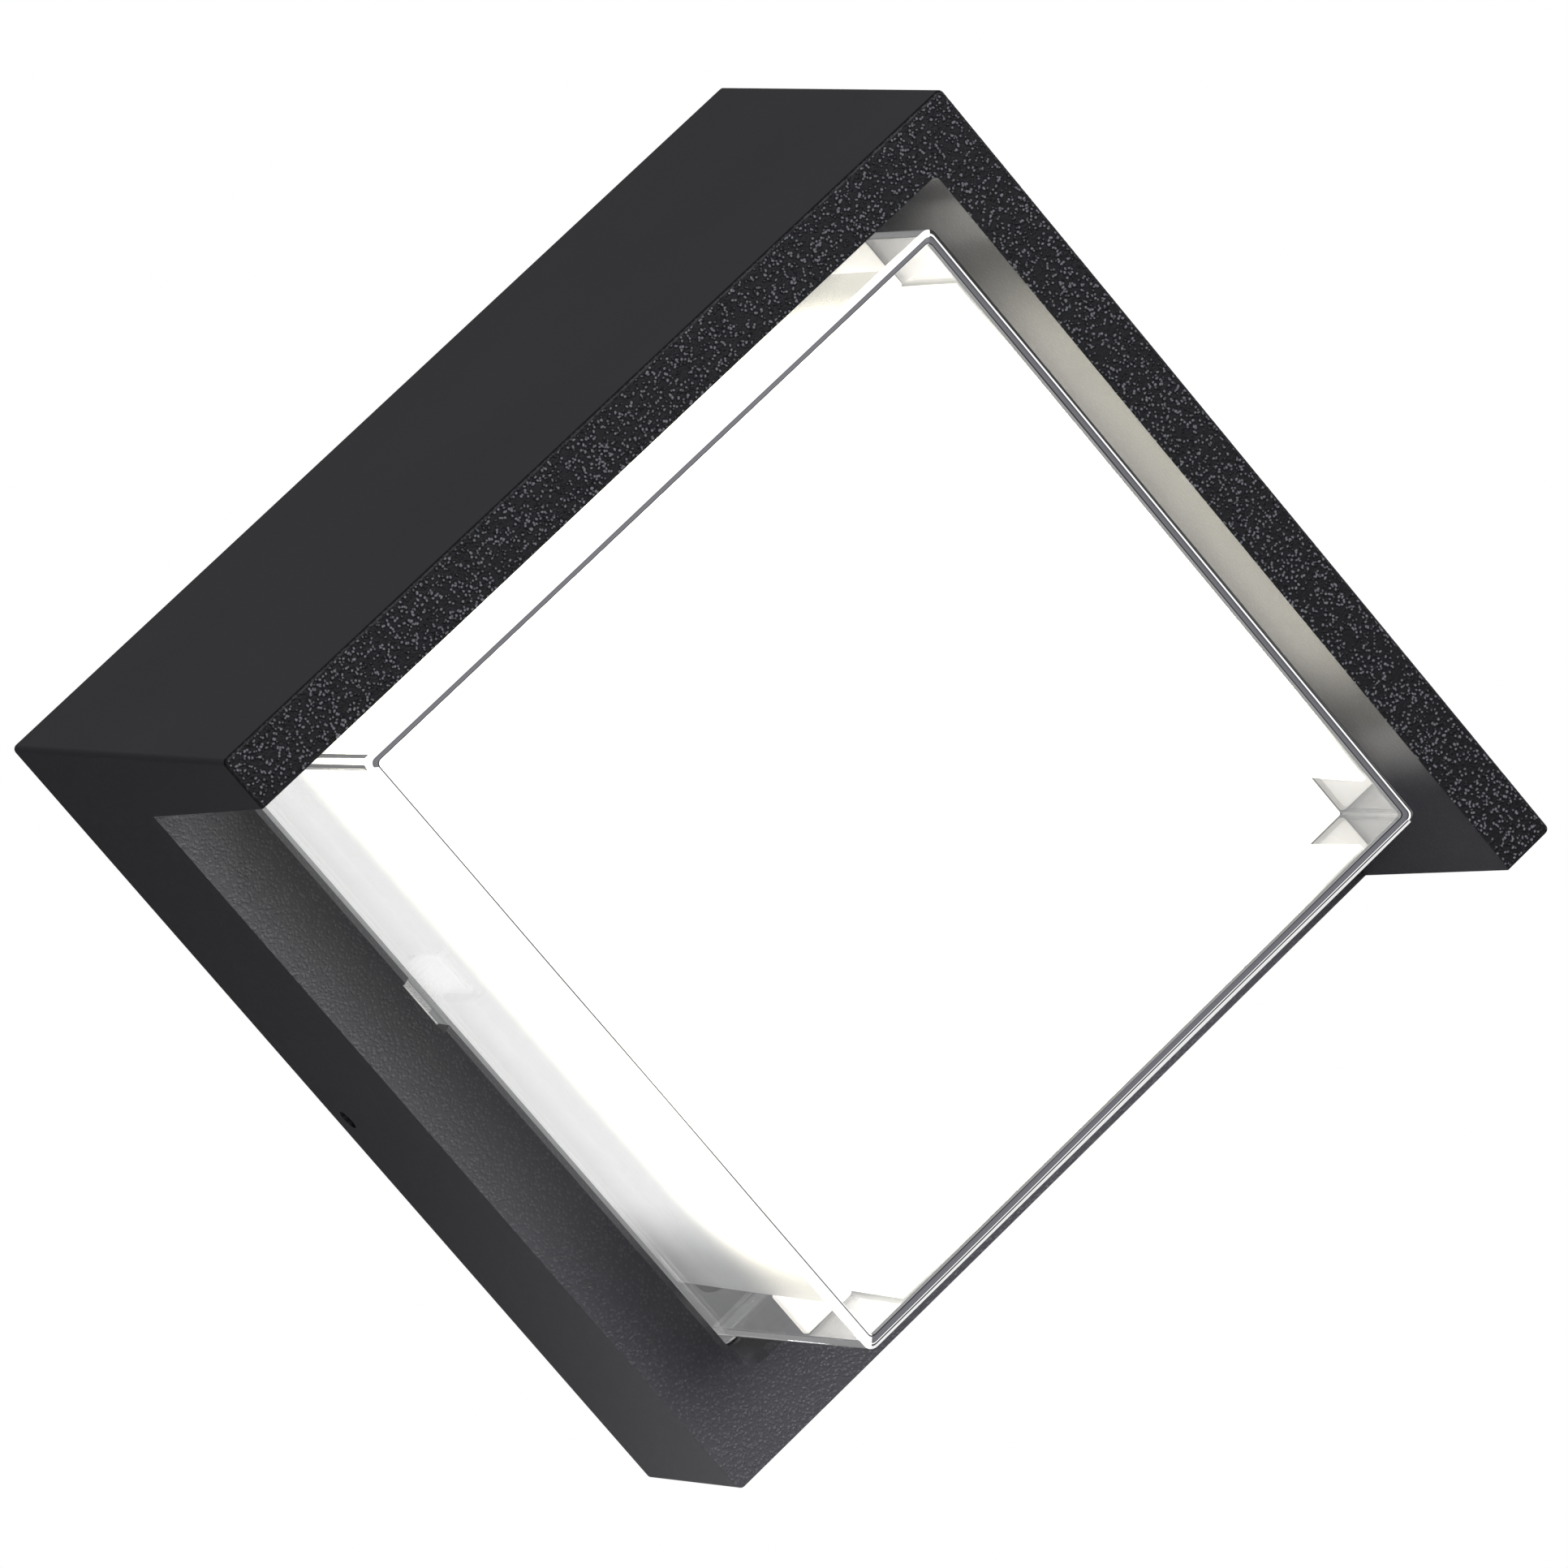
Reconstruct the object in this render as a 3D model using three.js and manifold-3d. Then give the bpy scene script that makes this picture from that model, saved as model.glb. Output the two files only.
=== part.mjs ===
// Outdoor LED wall lantern: a die-cast square set on its corner, with a hood over its two
// upper sides, a clear square cover standing in the pocket of its face, and the light inside.
//
// The pieces are drawn in the lantern's own square frame: x and y run along the sides of the
// square and z is the height off the wall. The +x side becomes the upper right side and the
// +y side the upper left one when the frame is turned onto its corner and stood on the wall.
import * as THREE from 'three';
import { mergeVertices } from 'three/addons/utils/BufferGeometryUtils.js';
import Module from 'manifold-3d';

const wasm = await Module();
wasm.setup();

// ---------- driving dimensions, mm ----------
const SIDE = 160; // side of the square where it meets the wall
const BODY_DEPTH = 43; // wall to the face of the body
const HOOD_DEPTH = 100; // wall to the front of the hood
const DRAFT = 0.0375; // every outer side leans in by this much per mm of height
const HOOD_BAND = 9.4; // thickness of the hood at its front
const HOOD_ROOT = 13; // thickness of the hood at the body's face
const CORNER_R = 0.9; // outer corners of the casting
const EDGE_R = 0.5; // rounded front edges of the casting
const POCKET_HALF = 64.5; // half side of the pocket in the body's face
const POCKET_R = 4;
const POCKET_LIP = 1.2; // chamfer round the pocket's mouth
const FLOOR_FRONT = 25; // the casting's floor, the bottom of the pocket
const FLOOR_BACK = 21; // the same floor seen from the wall side
const CAVITY_HALF = 73.5; // half side of the hollow behind the floor
const LEDGE_CORE_TOP = 38.5; // the ledge round the pocket is cored out from behind
const HOOD_CORE_TOP = 90; // so are the two hood walls
const GAP = 0.3; // clearance between pieces that touch

const COVER_FRONT = 98.5; // front face of the clear cover
const COVER_BASE = 27.5;
const COVER_HALF = 62.3; // half side at its base
const COVER_DRAFT = 0.0327; // its lower walls lean in by this much per mm of height
const COVER_DRAFT_UPPER = 0.0116; // and its upper walls, under the hood, by this much
const COVER_CORNER_R = 1.5;
const COVER_WALL = 1.8;
const COVER_PANE = 2;
const FLANGE_HALF = 64;
const FLANGE_THICK = 2.2;

const PLATE_FRONT = 73; // front of the opal plate
const PLATE_THICK = 2;
const STRIP_THICK = 0.8;
const STRIP_TOP = 96;
const STRIP_HALF = 51; // side strips end this far from the middle, short of three corners
const [STRIP_NEAR, STRIP_FAR] = [50, 70]; // they lie between these distances off the middle
const RIB_REACH = 2.4; // shelf on each strip that carries the plate

const CLIP_ALONG = 13.7; // clip notches stand this far off the middle of each side
const CLIP_NOTCH = 10;
const CLIP_WIDTH = 8;
const CLIP_SHEET = 0.5; // spring steel
const CLIP_SLOT = [39.2, 40.8]; // slot behind the notch for the clip's lip

const BOARD_HALF = 47;
const BOARD_THICK = 1.6;
const LED_HALF = 2.5;
const LED_HIGH = 1.35;
const TRAY_RIM = 56; // height of the reflector tray's rim
const TRAY_HALF = 50; // half side at its floor
const TRAY_FLARE = 5.5; // its rim stands out by this much
const TRAY_SHEET = 1;

const PLATE_STEEL = 2; // thickness of the wall bracket
const BRACKET_HALF = 58;
const WING_HALF = 12; // half width of the bracket's arms and wings
const WING_HIGH = 12;
const HOOK_Z = [6.4, 8]; // hooks that catch in the casting
const RIM_GROOVE = [75, 78.2, 2]; // inner and outer half side and depth of the gasket's groove

const SCREW_R = 1.5; // M3 shank
const SIDE_SCREW_Z = 6; // side screws' height off the wall
const LEAD_R = 1.1; // insulated leads

// ---------- solids ----------
function toSolid(geometry) {
  const bare = geometry.clone();
  for (const name of ['normal', 'uv']) bare.deleteAttribute(name);
  const merged = mergeVertices(bare, 1e-5);
  return new wasm.Manifold(new wasm.Mesh({
    numProp: 3,
    vertProperties: new Float32Array(merged.attributes.position.array),
    triVerts: new Uint32Array(merged.index.array),
  }));
}

function toGeometry(solid) {
  const { vertProperties, triVerts } = solid.getMesh();
  const geometry = new THREE.BufferGeometry();
  geometry.setAttribute('position', new THREE.BufferAttribute(vertProperties, 3));
  geometry.setIndex(new THREE.BufferAttribute(triVerts, 1));
  const flat = geometry.toNonIndexed();
  flat.computeVertexNormals();
  return flat;
}

function cut(base, ...tools) {
  return toGeometry(tools.reduce((solid, tool) => solid.subtract(toSolid(tool)), toSolid(base)));
}

function join(...pieces) {
  return toGeometry(pieces.slice(1).reduce((solid, piece) => solid.add(toSolid(piece)), toSolid(pieces[0])));
}

function common(a, b) {
  return toGeometry(toSolid(a).intersect(toSolid(b)));
}

function box(x0, x1, y0, y1, z0, z1) {
  const geometry = new THREE.BoxGeometry(x1 - x0, y1 - y0, z1 - z0);
  return geometry.translate((x0 + x1) / 2, (y0 + y1) / 2, (z0 + z1) / 2);
}

// a fixing ear that runs along y, from near on a case's end to its far end
function ear(x, halfX, near, far, z0, z1) {
  return box(x - halfX, x + halfX, Math.min(near, far), Math.max(near, far), z0, z1);
}

// a round bar along z
function bar(x, y, z0, z1, radius, sides = 20) {
  const geometry = new THREE.CylinderGeometry(radius, radius, z1 - z0, sides);
  return geometry.rotateX(Math.PI / 2).translate(x, y, (z0 + z1) / 2);
}

function roundedRect(halfX, halfY, radius) {
  const shape = new THREE.Shape();
  shape.moveTo(halfX, -halfY + radius);
  shape.absarc(halfX - radius, halfY - radius, radius, 0, Math.PI / 2);
  shape.absarc(-halfX + radius, halfY - radius, radius, Math.PI / 2, Math.PI);
  shape.absarc(-halfX + radius, -halfY + radius, radius, Math.PI, Math.PI * 1.5);
  shape.absarc(halfX - radius, -halfY + radius, radius, Math.PI * 1.5, Math.PI * 2);
  return shape;
}

function slab(shape, z0, z1, steps = 3) {
  const options = { depth: z1 - z0, bevelEnabled: false, curveSegments: steps };
  return new THREE.ExtrudeGeometry(shape, options).translate(0, 0, z0);
}

function squareSlab(half, radius, z0, z1, steps = 3) {
  return slab(roundedRect(half, half, radius), z0, z1, steps);
}

// a flat square ring between two half sides
function squareRing(outer, inner, radius, z0, z1) {
  return cut(squareSlab(outer, radius, z0, z1), squareSlab(inner, radius, z0 - 1, z1 + 1));
}

// moves the lower sides in by slope for every mm above height z0, and the upper ones by upperSlope
function lean(geometry, slope, z0, upperSlope = slope) {
  const position = geometry.attributes.position;
  const moved = (place, height) => (place > 0 ? place - upperSlope * height : place + slope * height);
  for (let i = 0; i < position.count; i += 1) {
    const height = position.getZ(i) - z0;
    position.setX(i, moved(position.getX(i), height));
    position.setY(i, moved(position.getY(i), height));
  }
  return geometry;
}

// a round bar through one of the two lower sides, between two distances from the middle
function sideBar(side, near, far, radius, sides = 14) {
  const along = bar(0, 0, near, far, radius, sides);
  const turned = side === 1 ? along.rotateY(-Math.PI / 2) : along.rotateX(Math.PI / 2);
  return turned.translate(0, 0, SIDE_SCREW_Z);
}

// quarter turns that carry a place on one side of the square to all four sides
function fourSides(build) {
  return [0, 1, 2, 3].map((turn) => build().rotateZ(turn * Math.PI / 2));
}

// screw with a cylinder head and a hexagon socket, head at the top, tip pointing down z
function capScrew(x, y, tip, seat, headHigh, radius = SCREW_R) {
  const body = join(
    bar(x, y, tip, seat + 0.1, radius, 14),
    bar(x, y, seat, seat + headHigh, radius * 1.8, 18),
  );
  return cut(body, bar(x, y, seat + headHigh * 0.4, seat + headHigh + 1, radius * 0.95, 6));
}

// the same screw turned over, head towards the wall
function backScrew(x, y, tip, seat, headHigh, radius = SCREW_R) {
  const geometry = capScrew(0, 0, -tip, -seat, headHigh, radius);
  return geometry.rotateX(Math.PI).translate(x, y, 0);
}

// ---------- the pieces ----------
const wallFrame = new THREE.Group();
wallFrame.rotation.x = Math.PI / 2; // z of the square frame points away from the wall
const square = new THREE.Group();
square.rotation.z = Math.PI / 4; // the square stands on its corner
wallFrame.add(square);

const FINISH = {
  castingPaint: { color: 0x2b2b30, roughness: 0.55, metalness: 0.3 },
  clearPlastic: { color: 0xf2f5f5, roughness: 0.04, metalness: 0, transparent: true, opacity: 0.3 },
  opalPlastic: { color: 0xfffdf4, roughness: 0.5, metalness: 0 },
  whitePlastic: { color: 0xf0f0ec, roughness: 0.45, metalness: 0 },
  blackRubber: { color: 0x1c1c1e, roughness: 0.85, metalness: 0 },
  greySilicone: { color: 0x8f9294, roughness: 0.7, metalness: 0 },
  bareAluminium: { color: 0xc9ccd0, roughness: 0.35, metalness: 1 },
  ledPhosphor: { color: 0xf3d24a, roughness: 0.4, metalness: 0 },
  steel: { color: 0xb4b6ba, roughness: 0.3, metalness: 1 },
  zincSteel: { color: 0xa7acae, roughness: 0.42, metalness: 1 },
  brass: { color: 0xc9a24c, roughness: 0.3, metalness: 1 },
  brownSleeve: { color: 0x5a3420, roughness: 0.6, metalness: 0 },
  blueSleeve: { color: 0x2458a8, roughness: 0.6, metalness: 0 },
  earthSleeve: { color: 0x4d9a3a, roughness: 0.6, metalness: 0 },
  redSleeve: { color: 0xb02222, roughness: 0.6, metalness: 0 },
  blackSleeve: { color: 0x202022, roughness: 0.6, metalness: 0 },
};

function addPiece(name, geometry, finish) {
  const mesh = new THREE.Mesh(geometry, new THREE.MeshStandardMaterial(FINISH[finish]));
  mesh.name = name;
  square.add(mesh);
}

// places that several pieces share
const ledgeHalf = SIDE / 2 - HOOD_ROOT - DRAFT * BODY_DEPTH; // hood's inner face at the body
const hoodSlope = (HOOD_ROOT - HOOD_BAND) / (HOOD_DEPTH - BODY_DEPTH) - DRAFT;
const coverLean = (geometry) => lean(geometry, COVER_DRAFT, COVER_BASE, COVER_DRAFT_UPPER);
const coverMiddle = (z) => ((COVER_DRAFT - COVER_DRAFT_UPPER) / 2) * (z - COVER_BASE);
const boardScrews = [[-38, -38], [38, -38], [-38, 38], [38, 38]];
const driver = { x: 28, halfX: 18, halfY: 40, z0: 5.5, earX: 36, earY: 44 };
const terminal = { x: -34, y: 4, halfX: 12, halfY: 18, z0: 7, poles: [-7, 4, 15] };
const leadHole = { x: -12, y: 38, radius: 5 };
const earth = { x: -30, y: 44 };
const terminalEars = [terminal.y - terminal.halfY - 4, terminal.y + terminal.halfY + 4];
const entry = { x: -28, y: -28, radius: 9 };

// Casting: drafted square block with the front cleared to leave the two hood walls, the
// pocket with its chamfered mouth and clip notches, and the hollow behind the floor.
function housing() {
  const outline = new THREE.ExtrudeGeometry(roundedRect(SIDE / 2, SIDE / 2, CORNER_R), {
    depth: HOOD_DEPTH - EDGE_R + 4,
    bevelThickness: EDGE_R,
    bevelSize: EDGE_R,
    bevelOffset: -EDGE_R,
    bevelSegments: 2,
    curveSegments: 3,
  });
  const block = lean(outline.translate(0, 0, -4), DRAFT, 0);

  const clearing = new THREE.Shape();
  clearing.moveTo(-SIDE, -SIDE);
  clearing.lineTo(ledgeHalf, -SIDE);
  clearing.lineTo(ledgeHalf, ledgeHalf - CORNER_R);
  clearing.absarc(ledgeHalf - CORNER_R, ledgeHalf - CORNER_R, CORNER_R, 0, Math.PI / 2);
  clearing.lineTo(-SIDE, ledgeHalf);
  const front = lean(slab(clearing, BODY_DEPTH, HOOD_DEPTH + 5), -hoodSlope, BODY_DEPTH);

  const pocket = squareSlab(POCKET_HALF, POCKET_R, FLOOR_FRONT, BODY_DEPTH + 1, 4);
  const lip = lean(
    squareSlab(POCKET_HALF, POCKET_R, BODY_DEPTH - POCKET_LIP, BODY_DEPTH, 4),
    -1,
    BODY_DEPTH - POCKET_LIP,
  );
  const cavity = squareSlab(CAVITY_HALF, 5, -1, FLOOR_BACK, 4);
  const coreIn = CAVITY_HALF - 4;
  const ledgeCore = squareRing(CAVITY_HALF, coreIn, 5, FLOOR_BACK - 1, LEDGE_CORE_TOP);
  const hoodCores = [
    box(coreIn, coreIn + 3, -66, 66, LEDGE_CORE_TOP - 1, HOOD_CORE_TOP),
    box(-66, 66, coreIn, coreIn + 3, LEDGE_CORE_TOP - 1, HOOD_CORE_TOP),
  ];
  const belowWall = box(-SIDE, SIDE, -SIDE, SIDE, -6, 0);
  const notches = fourSides(() => box(
    -POCKET_HALF - 1.7, -POCKET_HALF + 1,
    CLIP_ALONG - CLIP_NOTCH / 2, CLIP_ALONG + CLIP_NOTCH / 2,
    30, BODY_DEPTH + 0.5,
  ));
  const clipSlots = fourSides(() => box(
    -POCKET_HALF - 3.2, -POCKET_HALF - 1,
    CLIP_ALONG - CLIP_NOTCH / 2, CLIP_ALONG + CLIP_NOTCH / 2,
    ...CLIP_SLOT,
  ));
  const screwHole = (x, y, z0, z1) => bar(x, y, z0, z1, SCREW_R + GAP, 14);
  const shankHoles = boardScrews.map(([x, y]) => screwHole(x, y, FLOOR_FRONT - 3.5, FLOOR_FRONT + 1));
  const rearHole = (x, y) => screwHole(x, y, FLOOR_BACK - 1, FLOOR_BACK + 3.4);
  const driverHoles = [-1, 1].map((end) => rearHole(driver.earX, end * driver.earY));
  const terminalHoles = terminalEars.map((y) => rearHole(terminal.x, y));
  const earthHole = bar(earth.x, earth.y, FLOOR_BACK - 1, FLOOR_BACK + 3.5, 2.3, 16);
  const grommetHole = bar(leadHole.x, leadHole.y, FLOOR_BACK - 1, FLOOR_FRONT + 1, leadHole.radius, 20);
  const sideHoles = [1, 2].map((side) => sideBar(side, CAVITY_HALF - 3, SIDE / 2 + 2, SCREW_R + GAP));
  const hookSlots = [
    box(CAVITY_HALF - 1, CAVITY_HALF + 2.2, -WING_HALF, WING_HALF, 5, 9),
    box(-WING_HALF, WING_HALF, CAVITY_HALF - 1, CAVITY_HALF + 2.2, 5, 9),
  ];
  const [grooveIn, grooveOut, grooveDeep] = RIM_GROOVE;
  const rimGroove = squareRing(grooveOut, grooveIn, 3, -1, grooveDeep);
  return cut(
    block, belowWall, front, pocket, lip, cavity, ledgeCore, ...hoodCores, rimGroove,
    ...notches, ...clipSlots, ...shankHoles, ...driverHoles, ...terminalHoles, earthHole, grommetHole,
    ...sideHoles, ...hookSlots,
  );
}
addPiece('housing', housing(), 'castingPaint');

// Clear cover: a drafted square box, closed at the front and open behind, on a flat flange.
function clearCover() {
  const outside = coverLean(squareSlab(COVER_HALF, COVER_CORNER_R, COVER_BASE, COVER_FRONT));
  const inside = coverLean(
    squareSlab(COVER_HALF - COVER_WALL, 0.5, COVER_BASE - 1, COVER_FRONT - COVER_PANE, 2),
  );
  const flange = squareSlab(FLANGE_HALF, POCKET_R - 0.5, COVER_BASE, COVER_BASE + FLANGE_THICK);
  return cut(join(outside, flange), inside);
}
addPiece('clear_cover', clearCover(), 'clearPlastic');

addPiece('cover_gasket', squareRing(
  FLANGE_HALF, COVER_HALF - 4.8, POCKET_R - 0.5, FLOOR_FRONT + GAP, COVER_BASE - GAP,
), 'greySilicone');

// Spring clips: a foot on the cover's flange, a back up the notch and a lip in its slot.
function coverClip() {
  const footZ = COVER_BASE + FLANGE_THICK + GAP;
  const footTip = -FLANGE_HALF + 1.4;
  const back = -POCKET_HALF - 1.4;
  const lipTip = back - 1.4;
  const lipZ = CLIP_SLOT[0] + 0.6;
  const profile = new THREE.Shape();
  profile.moveTo(footTip, footZ);
  profile.lineTo(footTip, footZ + CLIP_SHEET);
  profile.lineTo(back + CLIP_SHEET, footZ + CLIP_SHEET);
  profile.lineTo(back + CLIP_SHEET, lipZ + CLIP_SHEET);
  profile.lineTo(lipTip, lipZ + CLIP_SHEET);
  profile.lineTo(lipTip, lipZ);
  profile.lineTo(back, lipZ);
  profile.lineTo(back, footZ);
  const strip = new THREE.ExtrudeGeometry(profile, { depth: CLIP_WIDTH, bevelEnabled: false });
  return strip.rotateX(Math.PI / 2).translate(0, CLIP_ALONG + CLIP_WIDTH / 2, 0);
}
fourSides(coverClip).forEach((geometry, i) => addPiece(`cover_clip_${i + 1}`, geometry, 'steel'));

// Opal plate that glows, carried by four opal side strips that line the cover's walls. It
// reaches past the strips to the cover in the three corners that they leave open.
const liner = (inset, z0, z1) => coverLean(squareSlab(COVER_HALF - COVER_WALL - inset, 0.5, z0, z1, 2));

function opalPlate() {
  const low = PLATE_FRONT - PLATE_THICK;
  const stripDeep = GAP + STRIP_THICK + GAP;
  const edge = COVER_HALF - COVER_WALL - stripDeep - COVER_DRAFT * (PLATE_FRONT - COVER_BASE);
  const upperEdge = edge + 2 * coverMiddle(PLATE_FRONT);
  const reach = STRIP_HALF + GAP;
  const middle = coverMiddle(COVER_FRONT);
  const [nearEnd, farEnd] = [middle - reach, middle + reach];
  return cut(
    liner(GAP, low, PLATE_FRONT),
    box(upperEdge, upperEdge + 5, nearEnd, farEnd, low - 1, PLATE_FRONT + 1),
    box(-STRIP_FAR, farEnd, upperEdge, upperEdge + 5, low - 1, PLATE_FRONT + 1),
    box(-edge - 5, -edge, nearEnd, STRIP_FAR, low - 1, PLATE_FRONT + 1),
    box(nearEnd, farEnd, -edge - 5, -edge, low - 1, PLATE_FRONT + 1),
  );
}
addPiece('opal_plate', opalPlate(), 'opalPlastic');

// the strip on the side that a number of quarter turns from +x gives; where an end is mitred, it
// runs to the corner
function sideStrip(turn, lowMitre, highMitre) {
  const stripBase = COVER_BASE + 3;
  const ribTop = PLATE_FRONT - PLATE_THICK - GAP;
  const wall = cut(
    liner(GAP, stripBase, STRIP_TOP),
    liner(GAP + STRIP_THICK, stripBase - 1, STRIP_TOP + 1),
  );
  const rib = cut(
    liner(GAP + 0.2, ribTop - 1.8, ribTop),
    liner(GAP + STRIP_THICK + RIB_REACH, ribTop - 3, ribTop + 1),
  );
  const middle = coverMiddle(COVER_FRONT);
  const setBack = GAP * Math.SQRT1_2;
  const end = (x, sign, mitred) => sign * (mitred ? x - setBack : STRIP_HALF);
  const sector = new THREE.Shape();
  sector.moveTo(STRIP_NEAR, end(STRIP_NEAR, -1, lowMitre));
  sector.lineTo(STRIP_FAR, end(STRIP_FAR, -1, lowMitre));
  sector.lineTo(STRIP_FAR, end(STRIP_FAR, 1, highMitre));
  sector.lineTo(STRIP_NEAR, end(STRIP_NEAR, 1, highMitre));
  const side = slab(sector, stripBase - 1, STRIP_TOP + 1);
  side.rotateZ(turn * Math.PI / 2).translate(middle, middle, 0);
  return common(join(wall, rib), side);
}
const strips = [[2, true, false], [3, false, false], [0, false, false], [1, false, true]];
strips.forEach((strip, i) => addPiece(`side_strip_${i + 1}`, sideStrip(...strip), 'opalPlastic'));

// LED board on the casting's floor, its twelve LEDs, and the white tray that throws the light out.
const boardFront = FLOOR_FRONT + GAP + BOARD_THICK;
const trayBack = boardFront + GAP;
addPiece('led_board', cut(
  squareSlab(BOARD_HALF, 3, FLOOR_FRONT + GAP, boardFront),
  bar(leadHole.x, leadHole.y, FLOOR_FRONT, boardFront + 1, leadHole.radius + 1, 20),
  ...boardScrews.map(([x, y]) => bar(x, y, FLOOR_FRONT, boardFront + 1, SCREW_R + GAP, 14)),
), 'bareAluminium');

const ledPlaces = [];
for (const x of [-30, -10, 10, 30]) {
  for (const y of [-22, 0, 22]) ledPlaces.push([x, y]);
}
ledPlaces.forEach(([x, y], i) => {
  const outline = roundedRect(LED_HALF, LED_HALF, 0.4);
  const body = slab(outline, boardFront + 0.05, boardFront + 0.05 + LED_HIGH, 1);
  addPiece(`led_${i + 1}`, body.translate(x, y, 0), 'ledPhosphor');
});

function reflectorTray() {
  const floorTop = trayBack + TRAY_SHEET;
  const flare = -TRAY_FLARE / (TRAY_RIM - trayBack);
  const pan = lean(squareSlab(TRAY_HALF, 4, trayBack, TRAY_RIM), flare, trayBack);
  const inside = lean(squareSlab(TRAY_HALF - TRAY_SHEET, 3.2, floorTop, TRAY_RIM + 1), flare, trayBack);
  const hole = (x, y, radius) => bar(x, y, trayBack - 1, floorTop + 1, radius, 16);
  const windows = ledPlaces.map(([x, y]) => hole(x, y, LED_HALF * 1.76));
  const leadWindow = hole(leadHole.x, leadHole.y, leadHole.radius + 2.2);
  const screwHoles = boardScrews.map(([x, y]) => hole(x, y, SCREW_R + GAP));
  return cut(pan, inside, ...windows, leadWindow, ...screwHoles);
}
addPiece('reflector_tray', reflectorTray(), 'whitePlastic');

boardScrews.forEach(([x, y], i) => {
  const seat = trayBack + TRAY_SHEET + GAP;
  addPiece(`board_screw_${i + 1}`, capScrew(x, y, FLOOR_FRONT - 3.2, seat, 1.8), 'steel');
});

// Rubber bush that leads the two LED leads through the floor.
function floorGrommet() {
  const { x, y, radius } = leadHole;
  const bush = join(
    bar(x, y, FLOOR_BACK - 1.8, FLOOR_BACK - GAP, radius + 1.6, 20),
    bar(x, y, FLOOR_BACK - 1, FLOOR_FRONT + 0.5, radius - GAP, 20),
  );
  return cut(bush, bar(x, y, 0, FLOOR_FRONT + 5, radius - 1.4, 18));
}
addPiece('floor_grommet', floorGrommet(), 'blackRubber');

// Driver: a case with an ear at each end, closed by a lid on the wall side.
const leadExits = [driver.x - 12, driver.x - 4];
function driverCase() {
  const { x, halfX, halfY, z0, earX, earY } = driver;
  const top = FLOOR_BACK - GAP;
  const shell = slab(roundedRect(halfX, halfY, 2), z0 + 1.8, top, 2).translate(x, 0, 0);
  const hollow = slab(roundedRect(halfX - 1.6, halfY - 1.6, 1.5), z0, top - 1.6, 2).translate(x, 0, 0);
  const ears = [-1, 1].map((end) => ear(earX, 5, end * (halfY - 1), end * (earY + 4), top - 1.8, top));
  const holes = [-1, 1].map((end) => bar(earX, end * earY, top - 3, top + 1, SCREW_R + GAP, 14));
  const exits = leadExits.map((ex) => bar(ex, 0, -halfY - 2, halfY + 2, LEAD_R + 0.5, 12)
    .rotateX(Math.PI / 2).translate(0, 0, 13));
  return cut(join(shell, ...ears), hollow, ...holes, ...exits);
}
addPiece('driver_case', driverCase(), 'whitePlastic');
addPiece('driver_lid', slab(roundedRect(driver.halfX, driver.halfY, 2), driver.z0, driver.z0 + 1.5, 2)
  .translate(driver.x, 0, 0), 'whitePlastic');
addPiece('driver_board', box(
  driver.x - 15.5, driver.x + 15.5, -36, 36, 16.2, 17.8,
), 'earthSleeve');
[-1, 1].forEach((end, i) => {
  const seat = FLOOR_BACK - GAP - 1.8 - GAP;
  const screw = backScrew(driver.earX, end * driver.earY, FLOOR_BACK + 3, seat, 2);
  addPiece(`driver_screw_${i + 1}`, screw, 'steel');
});

// Terminal block: three poles, each a brass clamp with a screw for the mains and one for the lead.
const clampZ = [10, 16.5];
function terminalBlock() {
  const { x, y, halfX, halfY, z0 } = terminal;
  const top = FLOOR_BACK - GAP;
  const body = box(x - halfX, x + halfX, y - halfY, y + halfY, z0, top);
  const ears = [-1, 1].map((end) => ear(
    x, 5, y + end * (halfY - 1), y + end * (halfY + 8), top - 3, top,
  ));
  const wells = terminal.poles.map((py) => box(
    x - 8 - GAP, x + 8 + GAP, py - 3.5 - GAP, py + 3.5 + GAP, z0 - 1, clampZ[1] + GAP,
  ));
  const mouths = terminal.poles.map((py) => bar(0, 0, -halfX - 1, halfX + 1, 2.1, 12)
    .rotateY(Math.PI / 2).translate(x, py, 13.5));
  const holes = terminalEars.map((ey) => bar(x, ey, top - 4, top + 1, SCREW_R + GAP, 14));
  return cut(join(body, ...ears), ...wells, ...mouths, ...holes);
}
addPiece('terminal_block', terminalBlock(), 'whitePlastic');
terminal.poles.forEach((py, i) => {
  const clamp = box(terminal.x - 8, terminal.x + 8, py - 3.5, py + 3.5, clampZ[0], clampZ[1]);
  const bore = bar(0, 0, -9, 9, 1.9, 12).rotateY(Math.PI / 2).translate(terminal.x, py, 13.5);
  const screwHoles = [-4.5, 4.5].map((dx) => bar(terminal.x + dx, py, clampZ[0] - 1, 13, 1.6, 12));
  addPiece(`terminal_clamp_${i + 1}`, cut(clamp, bore, ...screwHoles), 'brass');
  [-4.5, 4.5].forEach((dx, side) => {
    const screw = bar(terminal.x + dx, py, 8, 12, 1.3, 12);
    const slot = box(terminal.x + dx - 2, terminal.x + dx + 2, py - 0.3, py + 0.3, 7, 8.7);
    addPiece(`terminal_screw_${i * 2 + side + 1}`, cut(screw, slot), 'zincSteel');
  });
});
terminalEars.forEach((ey, i) => {
  const seat = FLOOR_BACK - GAP - 3 - GAP;
  addPiece(`terminal_fixing_${i + 1}`, backScrew(terminal.x, ey, FLOOR_BACK + 3, seat, 2), 'steel');
});

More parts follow.
